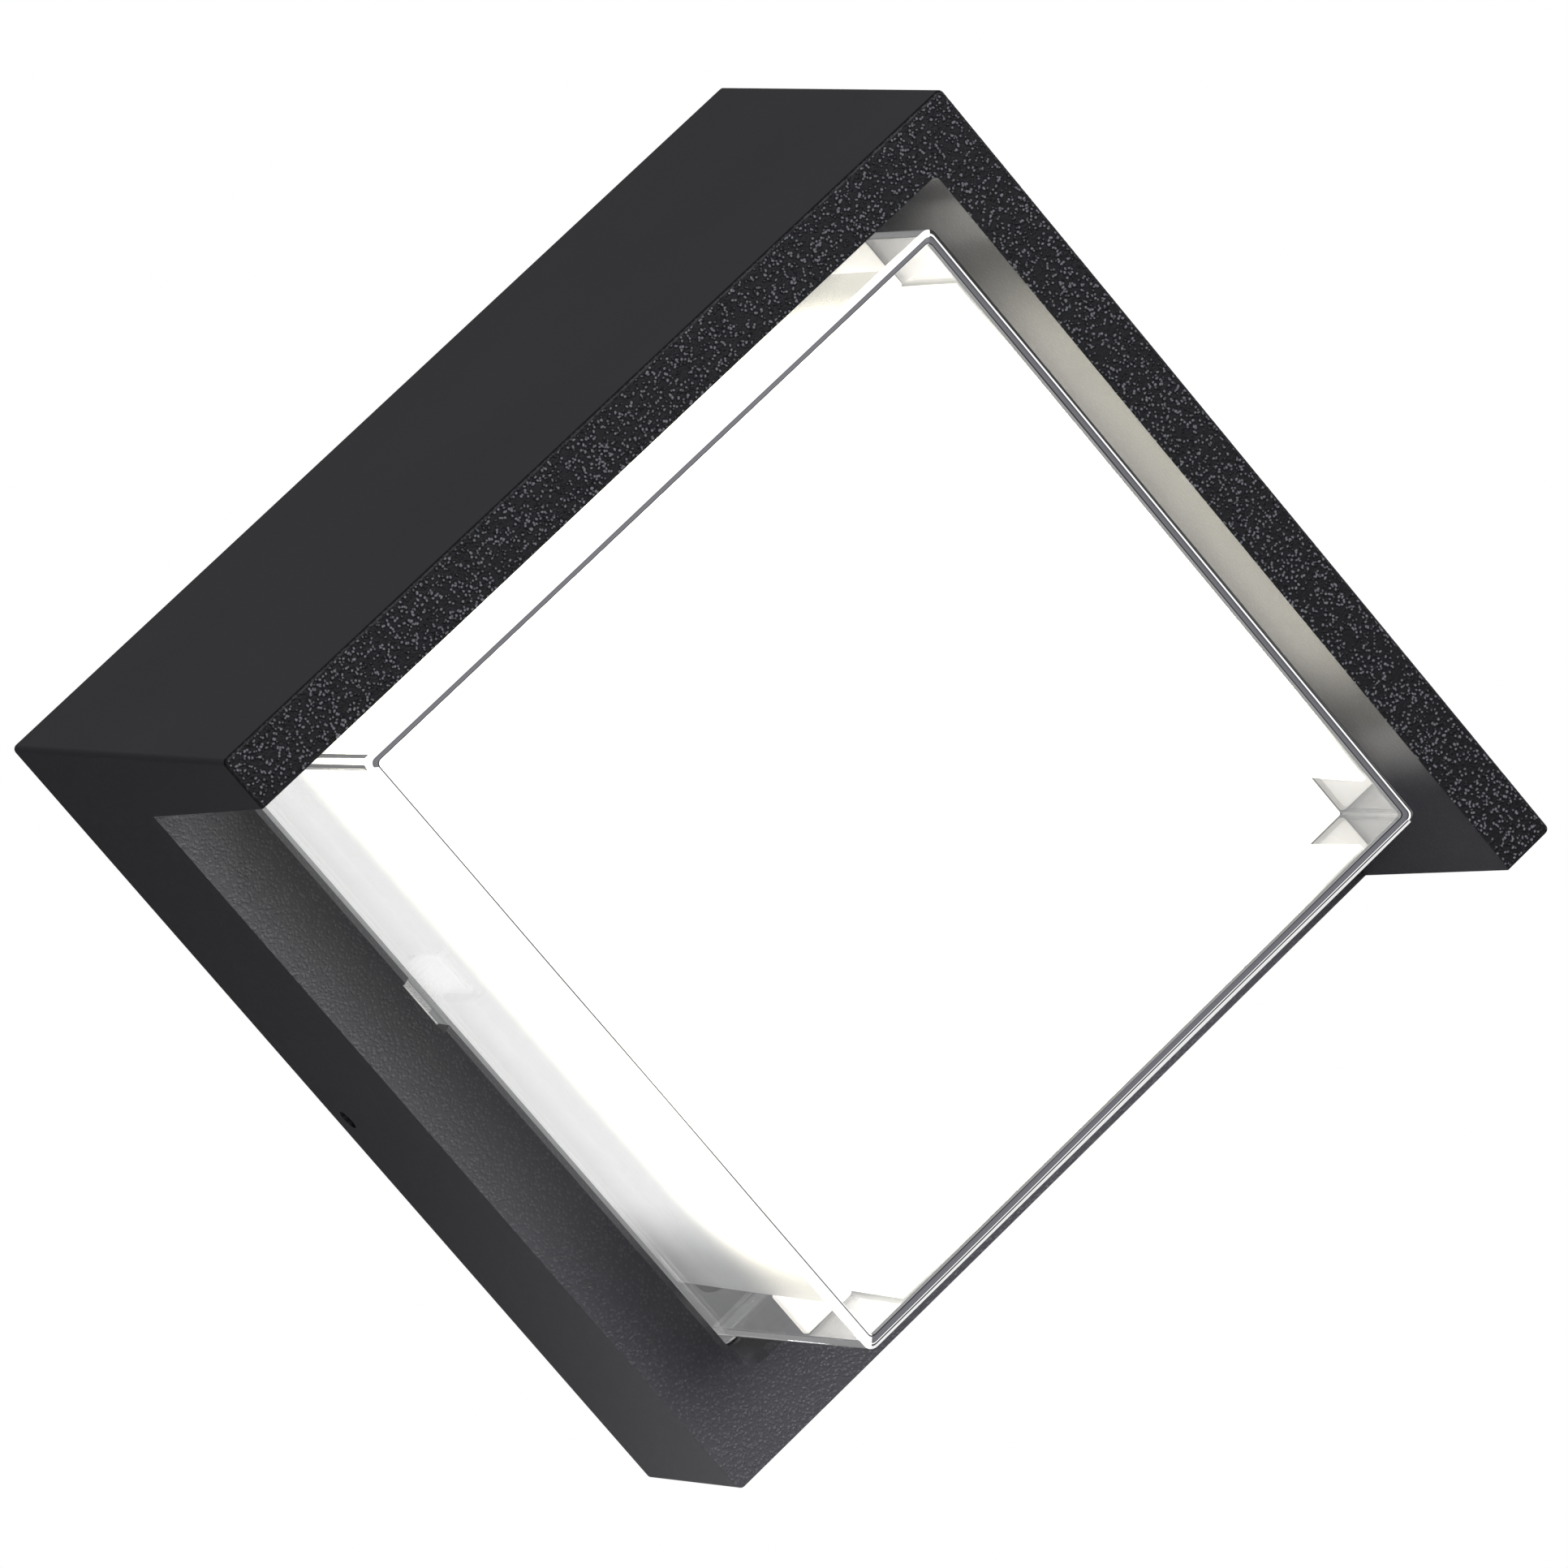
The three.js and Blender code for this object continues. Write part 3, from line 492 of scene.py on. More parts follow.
def clear_cover():
    """The cover's mesh; its front edge takes material 1 to 4 by side, and all else material 0."""
    inner_front = COVER_FRONT - COVER_PANE
    flange_top = COVER_BASE + FLANGE_THICK
    outer = [(FLANGE_HALF, FLANGE_HALF, FLANGE_CORNER, COVER_BASE + 0.0003)]
    outer += turned_edge(FLANGE_HALF, FLANGE_HALF, FLANGE_CORNER, flange_top, 0.0005)
    outer += [(*cover_sides(flange_top, -0.0004), 0.0019, flange_top)]
    outer += [(*cover_sides(flange_top + 0.0004), COVER_CORNER, flange_top + 0.0004)]
    outer += turned_edge(*cover_sides(COVER_FRONT), COVER_CORNER, COVER_FRONT, COVER_FRONT_ROUND)
    window = [(*cover_sides(COVER_FRONT, COVER_WALL), 0.0008, COVER_FRONT)]
    inner = [(FLANGE_HALF - 0.0003, FLANGE_HALF - 0.0003, FLANGE_CORNER - 0.0003, COVER_BASE)]
    inner += [(*cover_sides(COVER_BASE, COVER_WALL), 0.0005, COVER_BASE)]
    inner += turned_edge(*cover_sides(inner_front, COVER_WALL), 0.0005, inner_front, 0.0003, 2)
    work = skin([ring_points(*ring) for ring in window + outer[::-1] + inner])
    work.verts.ensure_lookup_table()
    inward = work.verts.layers.float.new("inward")
    for i in range(len(ring_points(*window[0]))):
        work.verts[i][inward] = 1.0
    for face in work.faces:
        middle = face.calc_center_median()
        if -middle[1] < COVER_FRONT - COVER_FRONT_ROUND or len(face.verts) > 4:
            continue
        x, y = along_sides(middle)
        upper = x + y > 0
        face.material_index = (1 if x > y else 2) if upper else (3 if y < x else 4)
    return work


def clear_acrylic():
    """Clear acrylic with the faintest wipe marks, and a faint painted glow on its walls for the light led in
    them.
    """
    material, tree, shader = new_material("clear_acrylic")
    shader.inputs["Base Color"].default_value = (0.985, 0.99, 0.992, 1.0)
    shader.inputs["Transmission Weight"].default_value = 1.0
    shader.inputs["IOR"].default_value = 1.49
    where = add_node(tree, "ShaderNodeTexCoord")
    wipes = add_node(tree, "ShaderNodeTexNoise", Scale=90.0, Detail=5.0, Roughness=0.7)
    haze = add_node(tree, "ShaderNodeMapRange", From_Min=0.5, From_Max=0.85, To_Min=0.0, To_Max=0.03)
    tree.links.new(where.outputs["Object"], wipes.inputs["Vector"])
    tree.links.new(wipes.outputs["Fac"], haze.inputs["Value"])
    tree.links.new(haze.outputs["Result"], shader.inputs["Roughness"])
    # Painted glow: the walls emit a faint light that stands in for the lamp's light led in them.
    painted_wall_glow = add_node(tree, "ShaderNodeMapRange", From_Min=0.3, From_Max=0.7, To_Min=0.8, To_Max=1.0)
    tree.links.new(wipes.outputs["Fac"], painted_wall_glow.inputs["Value"])
    tree.links.new(painted_wall_glow.outputs["Result"], shader.inputs["Emission Color"])
    shader.inputs["Emission Strength"].default_value = WALL_PAINTED_GLOW
    return material


def painted_lit_edge(name, bands):
    """The cover's front edge on one side, with painted lines of light and shade: stops of (how far in,
    brightness, blue over red).
    """
    material, tree, shader = new_material(name)
    links = tree.links
    where = add_node(tree, "ShaderNodeTexCoord")
    inward = add_node(tree, "ShaderNodeAttribute", attribute_name="inward")
    drift = add_node(tree, "ShaderNodeTexNoise", Scale=14.0, Detail=1.0)
    links.new(where.outputs["Object"], drift.inputs["Vector"])
    swing = add_node(tree, "ShaderNodeMapRange", To_Min=-0.16, To_Max=0.16)
    links.new(drift.outputs["Fac"], swing.inputs["Value"])
    moved = worked_out(tree, "ADD", inward.outputs["Fac"], swing.outputs["Result"])
    lines = add_node(tree, "ShaderNodeValToRGB")
    ramp = lines.color_ramp
    ramp.elements.remove(ramp.elements[-1])
    for i, (start, bright, blue) in enumerate(bands):
        stop = ramp.elements[0] if i == 0 else ramp.elements.new(start)
        stop.position = start
        stop.color = (bright, bright, bright * blue, 1.0)
    links.new(moved, lines.inputs["Fac"])
    # Painted light: the ramp's lines glow as emission.
    links.new(lines.outputs["Color"], shader.inputs["Emission Color"])
    shader.inputs["Emission Strength"].default_value = 1.0
    body = add_node(tree, "ShaderNodeMapRange", To_Min=0.015, To_Max=0.03)
    links.new(drift.outputs["Fac"], body.inputs["Value"])
    links.new(body.outputs["Result"], shader.inputs["Base Color"])
    shader.inputs["Roughness"].default_value = 0.12
    return material


# Each side of the front edge gets its own painted lines of light and shade, set by how light falls on that
# side.
EDGE_UPPER_RIGHT = painted_lit_edge("edge_upper_right", (
    (0.0, 0.01, 1.0), (0.10, 0.01, 1.0), (0.14, 1.1, 1.0), (0.28, 1.1, 1.0), (0.32, 0.01, 1.0),
    (0.38, 0.01, 1.1), (0.42, 0.11, 1.12), (0.86, 0.14, 1.12), (0.91, 0.01, 1.0),
))
EDGE_UPPER_LEFT = painted_lit_edge("edge_upper_left", (
    (0.0, 1.1, 1.0), (0.38, 1.1, 1.0), (0.43, 0.02, 1.0), (0.50, 0.15, 1.1), (0.84, 0.17, 1.1),
    (0.90, 0.01, 1.0), (0.95, 0.02, 1.0), (0.98, 1.1, 1.0),
))
EDGE_LOWER_RIGHT = painted_lit_edge("edge_lower_right", (
    (0.0, 0.8, 1.0), (0.06, 0.9, 1.0), (0.10, 0.01, 1.0), (0.20, 0.01, 1.0), (0.24, 0.9, 1.0),
    (0.31, 0.9, 1.0), (0.35, 0.01, 1.0), (0.41, 0.14, 1.15), (0.86, 0.13, 1.15), (0.92, 0.01, 1.0),
))
EDGE_LOWER_LEFT = painted_lit_edge("edge_lower_left", (
    (0.0, 1.1, 1.0), (0.80, 1.1, 1.0), (0.84, 0.04, 1.0), (0.92, 0.03, 1.0), (0.96, 1.1, 1.0),
))
finish(
    clear_cover(), "clear_cover_shell",
    [clear_acrylic(), EDGE_UPPER_RIGHT, EDGE_UPPER_LEFT, EDGE_LOWER_RIGHT, EDGE_LOWER_LEFT],
    ["clear_cover"], 35.0,
)


# ---------------------------------------------------------------------------
# Opal plate: a sheet of milky acrylic cut to lie on the strips' shelves, with
# three corners that reach past the strips to the cover. The LEDs light it from behind.
# ---------------------------------------------------------------------------
PLATE_EDGE_ROUND = 0.0004
PLATE_GLOW = 1.28


def farthest(tree, place):
    """How far a point is to the side, or up or down, whichever is more."""
    sideways = worked_out(tree, "ABSOLUTE", place.outputs["X"])
    return worked_out(tree, "MAXIMUM", sideways, worked_out(tree, "ABSOLUTE", place.outputs["Z"]))


def milky(name, glow, bright, dim, reach, fade_from, fade_to, ends=None):
    """Milky acrylic whose glow turns from bright to dim as what reach gives grows."""
    material, tree, shader = new_material(name)
    links = tree.links
    where = add_node(tree, "ShaderNodeTexCoord")
    place = add_node(tree, "ShaderNodeSeparateXYZ")
    links.new(where.outputs["Object"], place.inputs[0])
    fade = add_node(tree, "ShaderNodeMapRange", From_Min=fade_from, From_Max=fade_to)
    fade.interpolation_type = "SMOOTHSTEP"
    links.new(reach(tree, place), fade.inputs["Value"])
    tint = add_node(tree, "ShaderNodeMix", data_type="RGBA")
    tint.inputs["A"].default_value = (*bright, 1.0)
    tint.inputs["B"].default_value = (*dim, 1.0)
    links.new(fade.outputs["Result"], tint.inputs["Factor"])
    lit = tint.outputs["Result"]
    if ends:
        lit = dimmed_ends(tree, place, lit, *ends)
    links.new(lit, shader.inputs["Emission Color"])
    shader.inputs["Emission Strength"].default_value = glow
    milk = add_node(tree, "ShaderNodeTexNoise", Scale=30.0, Detail=3.0)
    links.new(where.outputs["Object"], milk.inputs["Vector"])
    body = add_node(tree, "ShaderNodeMapRange", To_Min=0.84, To_Max=0.92)
    links.new(milk.outputs["Fac"], body.inputs["Value"])
    links.new(body.outputs["Result"], shader.inputs["Base Color"])
    satin = add_node(tree, "ShaderNodeMapRange", To_Min=0.32, To_Max=0.44)
    links.new(milk.outputs["Fac"], satin.inputs["Value"])
    links.new(satin.outputs["Result"], shader.inputs["Roughness"])
    return material


opal_plate = merged_copy("opal_plate")
round_edges(opal_plate, PLATE_EDGE_ROUND)
finish(
    opal_plate, "opal_plate_sheet",
    milky(
        "opal_plate_acrylic", PLATE_GLOW, (1.0, 0.975, 0.93), (0.80, 0.755, 0.66), farthest, 0.060, 0.086,
    ),
    ["opal_plate"],
)


# ---------------------------------------------------------------------------
# Side strips: four opal strips that line the clear walls and carry the plate on
# a shelf. They meet in the left corner and stop short of the others, and glow less
# where the tray's rim shades them near the wall and at their free ends.
# ---------------------------------------------------------------------------
STRIP_EDGE_ROUND = 0.00012
STRIP_GLOW = 5.0
STRIP_SHADE_SLANT = 0.05  # the shade reaches further forward lower down
STRIP_END_GLOW = 0.19


def dimmed_ends(tree, place, lit, start, stop, least):
    """Scales a glow down towards the top, right and bottom corners of the square."""
    up_down = worked_out(tree, "ABSOLUTE", place.outputs["Z"])
    sideways = worked_out(tree, "ABSOLUTE", place.outputs["X"])
    to_right = worked_out(tree, "SUBTRACT", place.outputs["X"], up_down)
    either = worked_out(tree, "MAXIMUM", to_right, worked_out(tree, "SUBTRACT", up_down, sideways))
    end = add_node(tree, "ShaderNodeMapRange", From_Min=start, From_Max=stop, To_Min=1.0, To_Max=least)
    end.interpolation_type = "SMOOTHSTEP"
    tree.links.new(either, end.inputs["Value"])
    dimmed = add_node(tree, "ShaderNodeVectorMath", operation="SCALE")
    tree.links.new(lit, dimmed.inputs[0])
    tree.links.new(end.outputs["Result"], dimmed.inputs["Scale"])
    return dimmed.outputs[0]


def nearness_to_wall(tree, place):
    """Grows from the front towards the wall, and from the top down."""
    return worked_out(tree, "MULTIPLY_ADD", place.outputs["Z"], -STRIP_SHADE_SLANT, place.outputs["Y"])


STRIP_ACRYLIC = milky(
    "opal_strip_acrylic", STRIP_GLOW, (1.0, 0.955, 0.80), (0.18, 0.18, 0.177),
    nearness_to_wall, -0.088, -0.057, ends=(0.042, 0.068, STRIP_END_GLOW),
)
for number in range(1, 5):
    strip = merged_copy(f"side_strip_{number}")
    round_edges(strip, STRIP_EDGE_ROUND)
    finish(strip, f"opal_strip_{number}", STRIP_ACRYLIC, [f"side_strip_{number}"])


# ---------------------------------------------------------------------------
# Seals and bushes: a grey silicone gasket under the cover's flange, and black
# rubber for the wall gasket and the bushes that guard the leads. All are moulded,
# with soft edges and a dull skin, and sit in grooves or holes without fixings.
# ---------------------------------------------------------------------------
SEAL_EDGE_ROUND = 0.0003
SEALS = (
    ("cover_gasket", "grey_silicone", (0.30, 0.31, 0.32), 0.60),
    ("wall_gasket", "black_rubber", (0.022, 0.022, 0.023), 0.72),
    ("entry_grommet", "black_rubber", (0.022, 0.022, 0.023), 0.72),
    ("floor_grommet", "black_rubber", (0.022, 0.022, 0.023), 0.72),
)


def mottle_group():
    """Slow patches and fine specks, for finishes that are never quite even."""
    tree, inside, outside = node_group(
        "mottle", "ShaderNodeTree",
        (("Vector", "Vector"), ("Patch Size", "Float", 0.02), ("Speck Size", "Float", 0.0006)),
        (("Patches", "Float"), ("Specks", "Float")),
    )
    for size, result in (("Patch Size", "Patches"), ("Speck Size", "Specks")):
        cloud = add_node(tree, "ShaderNodeTexNoise", Detail=4.0, Roughness=0.6)
        tree.links.new(worked_out(tree, "DIVIDE", 1.0, inside.outputs[size]), cloud.inputs["Scale"])
        tree.links.new(inside.outputs["Vector"], cloud.inputs["Vector"])
        tree.links.new(cloud.outputs["Fac"], outside.inputs[result])
    return tree


MOTTLE = mottle_group()


def worn_finish(name, colour, rough, metal=0.0, speck=0.0006, relief=0.00002, spread=0.10, stretch=None):
    """One colour, uneven in patches, with specks that vary its gloss and lift its surface."""
    material, tree, shader = new_material(name)
    links = tree.links
    where = add_node(tree, "ShaderNodeTexCoord")
    vector = where.outputs["Object"]
    if stretch:
        drawn = add_node(tree, "ShaderNodeMapping")
        drawn.inputs["Scale"].default_value = stretch
        links.new(vector, drawn.inputs["Vector"])
        vector = drawn.outputs["Vector"]
    mottle = add_node(tree, "ShaderNodeGroup", node_tree=MOTTLE)
    mottle.inputs["Speck Size"].default_value = speck
    links.new(vector, mottle.inputs["Vector"])
    shade = add_node(
        tree, "ShaderNodeMapRange", From_Min=0.3, From_Max=0.7, To_Min=1 - spread, To_Max=1 + spread,
    )
    links.new(mottle.outputs["Patches"], shade.inputs["Value"])
    tint = add_node(tree, "ShaderNodeVectorMath", operation="SCALE")
    tint.inputs[0].default_value = colour
    links.new(shade.outputs["Result"], tint.inputs["Scale"])
    links.new(tint.outputs[0], shader.inputs["Base Color"])
    gloss = add_node(
        tree, "ShaderNodeMapRange", From_Min=0.3, From_Max=0.7, To_Min=rough - 0.08, To_Max=rough + 0.08,
    )
    links.new(mottle.outputs["Specks"], gloss.inputs["Value"])
    links.new(gloss.outputs["Result"], shader.inputs["Roughness"])
    skin_bump = add_node(tree, "ShaderNodeBump", Strength=0.5, Distance=relief)
    links.new(mottle.outputs["Specks"], skin_bump.inputs["Height"])
    links.new(skin_bump.outputs["Normal"], shader.inputs["Normal"])
    shader.inputs["Metallic"].default_value = metal
    return material


def softened(node_name, rounding, material):
    """A CAD piece with its edges rounded, in a new material."""
    work = merged_copy(node_name)
    round_edges(work, rounding)
    return finish(work, f"{node_name}_made", material, [node_name])


seal_materials = {}
for seal, stuff, seal_colour, seal_rough in SEALS:
    if stuff not in seal_materials:
        seal_materials[stuff] = worn_finish(stuff, seal_colour, seal_rough, spread=0.12, relief=0.00003)
    softened(seal, SEAL_EDGE_ROUND, seal_materials[stuff])


# ---------------------------------------------------------------------------
# Mouldings: the reflector tray, the driver's case and lid and the terminal block
# are injection moulded in white plastic with slightly rounded edges. The tray is
# held by the board's screws, the driver and the block by two screws each.
# ---------------------------------------------------------------------------
MOULDINGS = (
    ("reflector_tray", 0.0003), ("driver_case", 0.0004), ("driver_lid", 0.0004), ("terminal_block", 0.0003),
)
WHITE_MOULDING = worn_finish("white_moulding", (0.80, 0.80, 0.78), 0.42, spread=0.03)
for moulding, moulding_round in MOULDINGS:
    softened(moulding, moulding_round, WHITE_MOULDING)


# ---------------------------------------------------------------------------
# Circuit boards: the LEDs' board is aluminium under white solder mask, the
# driver's board is green glass epoxy. Copper tracks show as low lines under the
# mask. The first is screwed down with the tray, the second lies in its case.
# ---------------------------------------------------------------------------
TRACK_PITCH = 0.0030
TRACK_RISE = 0.00004
BOARD_EDGE_ROUND = 0.0001


def masked_board(name, mask, track):
    """Solder mask over a net of copper tracks."""
    material, tree, shader = new_material(name)
    links = tree.links
    where = add_node(tree, "ShaderNodeTexCoord")
    turned = add_node(tree, "ShaderNodeMapping")
    turned.inputs["Rotation"].default_value = (math.pi / 2, math.pi / 4, 0)
    links.new(where.outputs["Object"], turned.inputs["Vector"])
    net = add_node(tree, "ShaderNodeTexBrick", Scale=1.0, Mortar_Size=0.00025, Brick_Width=TRACK_PITCH * 3)
    net.inputs["Row Height"].default_value = TRACK_PITCH
    net.inputs["Mortar Smooth"].default_value = 0.2
    links.new(turned.outputs["Vector"], net.inputs["Vector"])
    tint = add_node(tree, "ShaderNodeMix", data_type="RGBA")
    tint.inputs["A"].default_value = (*mask, 1.0)
    tint.inputs["B"].default_value = (*track, 1.0)
    links.new(net.outputs["Fac"], tint.inputs["Factor"])
    links.new(tint.outputs["Result"], shader.inputs["Base Color"])
    rise = add_node(tree, "ShaderNodeBump", Strength=0.6, Distance=TRACK_RISE)
    links.new(net.outputs["Fac"], rise.inputs["Height"])
    links.new(rise.outputs["Normal"], shader.inputs["Normal"])
    mottle = add_node(tree, "ShaderNodeGroup", node_tree=MOTTLE)
    links.new(where.outputs["Object"], mottle.inputs["Vector"])
    gloss = add_node(tree, "ShaderNodeMapRange", To_Min=0.30, To_Max=0.44)
    links.new(mottle.outputs["Specks"], gloss.inputs["Value"])
    links.new(gloss.outputs["Result"], shader.inputs["Roughness"])
    return material


softened(
    "led_board", BOARD_EDGE_ROUND * 2,
    masked_board("white_board_mask", (0.83, 0.84, 0.84), (0.74, 0.76, 0.76)),
)
softened(
    "driver_board", BOARD_EDGE_ROUND,
    masked_board("green_board_mask", (0.03, 0.17, 0.06), (0.06, 0.28, 0.10)),
)


# ---------------------------------------------------------------------------
# LEDs: twelve square packages soldered to the board, each a white frame round a
# well of yellow phosphor. One package is set out on points at the twelve places.
# ---------------------------------------------------------------------------
LED_SEAT = 0.02695
LED_HIGH = 0.00135
LED_HALF = 0.0025
LED_WELL = 0.0019
LED_COLUMNS = (-0.030, -0.010, 0.010, 0.030)
LED_ROWS = (-0.022, 0.0, 0.022)


def set_out_tree():
    """Geometry nodes: a copy of a piece on each point, turned about the depth by the point."""
    tree, inside, outside = node_group(
        "set_out", "GeometryNodeTree",
        (("Points", "Geometry"), ("Piece", "Object"), ("Material", "Material")), (("Geometry", "Geometry"),),
    )
    piece = tree.nodes.new("GeometryNodeObjectInfo")
    turn = add_node(tree, "GeometryNodeInputNamedAttribute", data_type="FLOAT")
    turn.inputs["Name"].default_value = "turn"
    euler = tree.nodes.new("ShaderNodeCombineXYZ")
    place = tree.nodes.new("GeometryNodeInstanceOnPoints")
    real = tree.nodes.new("GeometryNodeRealizeInstances")
    paint = tree.nodes.new("GeometryNodeSetMaterial")
    links = tree.links
    links.new(inside.outputs["Piece"], piece.inputs["Object"])
    links.new(turn.outputs["Attribute"], euler.inputs["Y"])
    links.new(inside.outputs["Points"], place.inputs["Points"])
    links.new(piece.outputs["Geometry"], place.inputs["Instance"])
    links.new(euler.outputs[0], place.inputs["Rotation"])
    links.new(place.outputs["Instances"], real.inputs["Geometry"])
    links.new(real.outputs["Geometry"], paint.inputs["Geometry"])
    links.new(inside.outputs["Material"], paint.inputs["Material"])
    links.new(paint.outputs["Geometry"], outside.inputs["Geometry"])
    return tree


SET_OUT = set_out_tree()


def grown(seed_mesh, tree, settings):
    """Runs a geometry tree over a seed mesh and gives the result as a bmesh."""
    seed = bpy.data.objects.new("seed", seed_mesh)
    bpy.context.scene.collection.objects.link(seed)
    modifier = seed.modifiers.new("grow", "NODES")
    modifier.node_group = tree
    for item in tree.interface.items_tree:
        if item.in_out == "INPUT" and item.name in settings:
            modifier[item.identifier] = settings[item.name]
    graph = bpy.context.evaluated_depsgraph_get()
    mesh = bpy.data.meshes.new_from_object(seed.evaluated_get(graph), depsgraph=graph)
    seed.modifiers.clear()
    bpy.data.objects.remove(seed)
    work = bmesh.new()
    work.from_mesh(mesh)
    bpy.data.meshes.remove(mesh)
    return work


def set_out(places, model, material):
    """Copies of a bmesh model at (point, turn) places, as one bmesh; the model is used up."""
    model_mesh = bpy.data.meshes.new("model")
    model.to_mesh(model_mesh)
    model.free()
    piece = bpy.data.objects.new("model", model_mesh)
    bpy.context.scene.collection.objects.link(piece)
    points = bpy.data.meshes.new("points")
    points.from_pydata([place for place, _ in places], [], [])
    turns = points.attributes.new("turn", "FLOAT", "POINT")
    turns.data.foreach_set("value", [turn for _, turn in places])
    work = grown(points, SET_OUT, {"Piece": piece, "Material": material})
    bpy.data.objects.remove(piece)
    return work


def square_loop(half, corner, depth):
    """Points round a small square with rounded corners, lying across the depth."""
    points = []
    for quarter, (sx, sy) in enumerate(((1, 1), (-1, 1), (-1, -1), (1, -1))):
        for step in range(4):
            angle = (quarter + step / 3) * math.pi / 2
            x = sx * (half - corner) + corner * math.cos(angle)
            z = sy * (half - corner) + corner * math.sin(angle)
            points.append(Vector((x, -depth, z)))
    return points


def led_frame():
    """The white package with its empty well."""
    return skin([
        square_loop(LED_HALF, 0.0003, 0.0),
        square_loop(LED_HALF, 0.0003, LED_HIGH - 0.0001),
        square_loop(LED_HALF - 0.0001, 0.0003, LED_HIGH),
        square_loop(LED_WELL, 0.0006, LED_HIGH),
        square_loop(LED_WELL - 0.0003, 0.0005, LED_HIGH - 0.0005),
    ])


def led_fill():
    """The phosphor that fills the well, a little domed."""
    return skin([
        square_loop(LED_WELL - 0.00034, 0.0004, LED_HIGH - 0.00045),
        square_loop(LED_WELL - 0.00010, 0.0004, LED_HIGH - 0.00012),
        square_loop(LED_WELL - 0.0006, 0.0004, LED_HIGH - 0.00005),
    ])


led_places = [(at(x, y, LED_SEAT), math.pi / 4) for x in LED_COLUMNS for y in LED_ROWS]
led_nodes = [f"led_{number}" for number in range(1, 13)]
phosphor = worn_finish("led_phosphor", (0.86, 0.62, 0.10), 0.45, speck=0.0002)
finish(set_out(led_places, led_frame(), WHITE_MOULDING), "led_frames", WHITE_MOULDING)
finish(set_out(led_places, led_fill(), phosphor), "led_phosphors", phosphor, led_nodes)


# ---------------------------------------------------------------------------
# Screws: steel cap screws with a hexagon socket hold the board, the driver and
# the terminal block, a brass one takes the earth lug, small zinc ones with a slot
# clamp the leads, and a sunk one in each lower side locks the light to its bracket.
# ---------------------------------------------------------------------------
THREAD_PITCH = 0.0005
THREAD_DEPTH = 0.00018
SCREW_POINTS = 24
HEAD_TO_SHANK = 1.8
CAP_HIGH = 0.0020
FIRST_TURN = 0.7  # each screw of a group stopped at a different turn
TURN_STEP = 2.3


def round_loop(radius, depth, way):
    turns = [math.tau * i / SCREW_POINTS for i in range(SCREW_POINTS)]
    return [Vector((radius * math.cos(turn), -way * depth, radius * math.sin(turn))) for turn in turns]


def drive_loop(wide, tall, depth, way):
    """A loop round a hexagon when wide equals tall, and otherwise round a slot."""
    points = []
    for i in range(SCREW_POINTS):
        angle = math.tau * i / SCREW_POINTS
        if wide == tall:
            reach = wide * math.cos(math.pi / 6) / math.cos(angle % (math.pi / 3) - math.pi / 6)
            x, z = reach * math.cos(angle), reach * math.sin(angle)
        else:
            x = max(-wide, min(wide, 1.2 * wide * math.cos(angle)))
            z = max(-tall, min(tall, wide * math.sin(angle)))
        points.append(Vector((x, -way * depth, z)))
    return points


def screw_model(shank, length, head, head_high, way, slotted=False):
    """A screw whose head ends at depth 0 and looks forward (way 1) or to the wall (way -1)."""
    neck = -head_high
    loops = [round_loop(shank * 0.7, -length, way)]
    depth = -length + 0.0004
    turns = max(1, int((neck - depth) / THREAD_PITCH))
    for _ in range(turns):
        loops.append(round_loop(shank, depth, way))
        loops.append(round_loop(shank - THREAD_DEPTH, depth + THREAD_PITCH / 2, way))
        depth += THREAD_PITCH
    if head > shank:
        loops.append(round_loop(shank - THREAD_DEPTH, neck, way))
        loops.append(round_loop(head, neck, way))
    loops.append(round_loop(head, -0.0002, way))
    loops.append(round_loop(head - 0.0002, 0.0, way))
    wide, tall = (head * 0.8, head * 0.16) if slotted else (head * 0.5, head * 0.5)
    deep = -max(0.0006, head_high * 0.6)
    loops.append(drive_loop(wide, tall, 0.0, way))
    loops.append(drive_loop(wide, tall, deep, way))
    return skin(loops)


def screw_group(name, node_names, way, material, head_high, slotted=False):
    """One screw model at the places where the CAD has these screws."""
    boxes = [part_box(node_name) for node_name in node_names]
    places = []
    for number, (low, high) in enumerate(boxes):
        head_end = low[1] if way > 0 else high[1]
        middle = ((low[0] + high[0]) / 2, head_end, (low[2] + high[2]) / 2)
        places.append((middle, FIRST_TURN + TURN_STEP * number))
    low, high = boxes[-1]
    head = (high[0] - low[0]) / 2
    shank = head if slotted else head / HEAD_TO_SHANK
    model = screw_model(shank, high[1] - low[1], head, head_high, way, slotted)
    finish(set_out(places, model, material), name, material, node_names)


STAINLESS = worn_finish("stainless_steel", (0.60, 0.60, 0.60), 0.28, 1.0, stretch=(1, 1, 6))
ZINC = worn_finish("zinc_plated_steel", (0.52, 0.53, 0.54), 0.36, 1.0, speck=0.0012, spread=0.18)
BRASS = worn_finish("turned_brass", (0.68, 0.50, 0.19), 0.30, 1.0)
screw_group(
    "board_screws", [f"board_screw_{n}" for n in range(1, 5)], 1, STAINLESS, 0.0018,
)
screw_group(
    "driver_screws", ["driver_screw_1", "driver_screw_2"], -1, STAINLESS, CAP_HIGH,
)
screw_group(
    "terminal_fixings", ["terminal_fixing_1", "terminal_fixing_2"], -1,
    STAINLESS, CAP_HIGH,
)
screw_group("earth_fixing", ["earth_screw"], -1, BRASS, 0.0022)
screw_group(
    "terminal_screws", [f"terminal_screw_{n}" for n in range(1, 7)], -1, ZINC, 0.0008, True,
)
for number in (1, 2):
    softened(f"side_screw_{number}", 0.0001, STAINLESS)


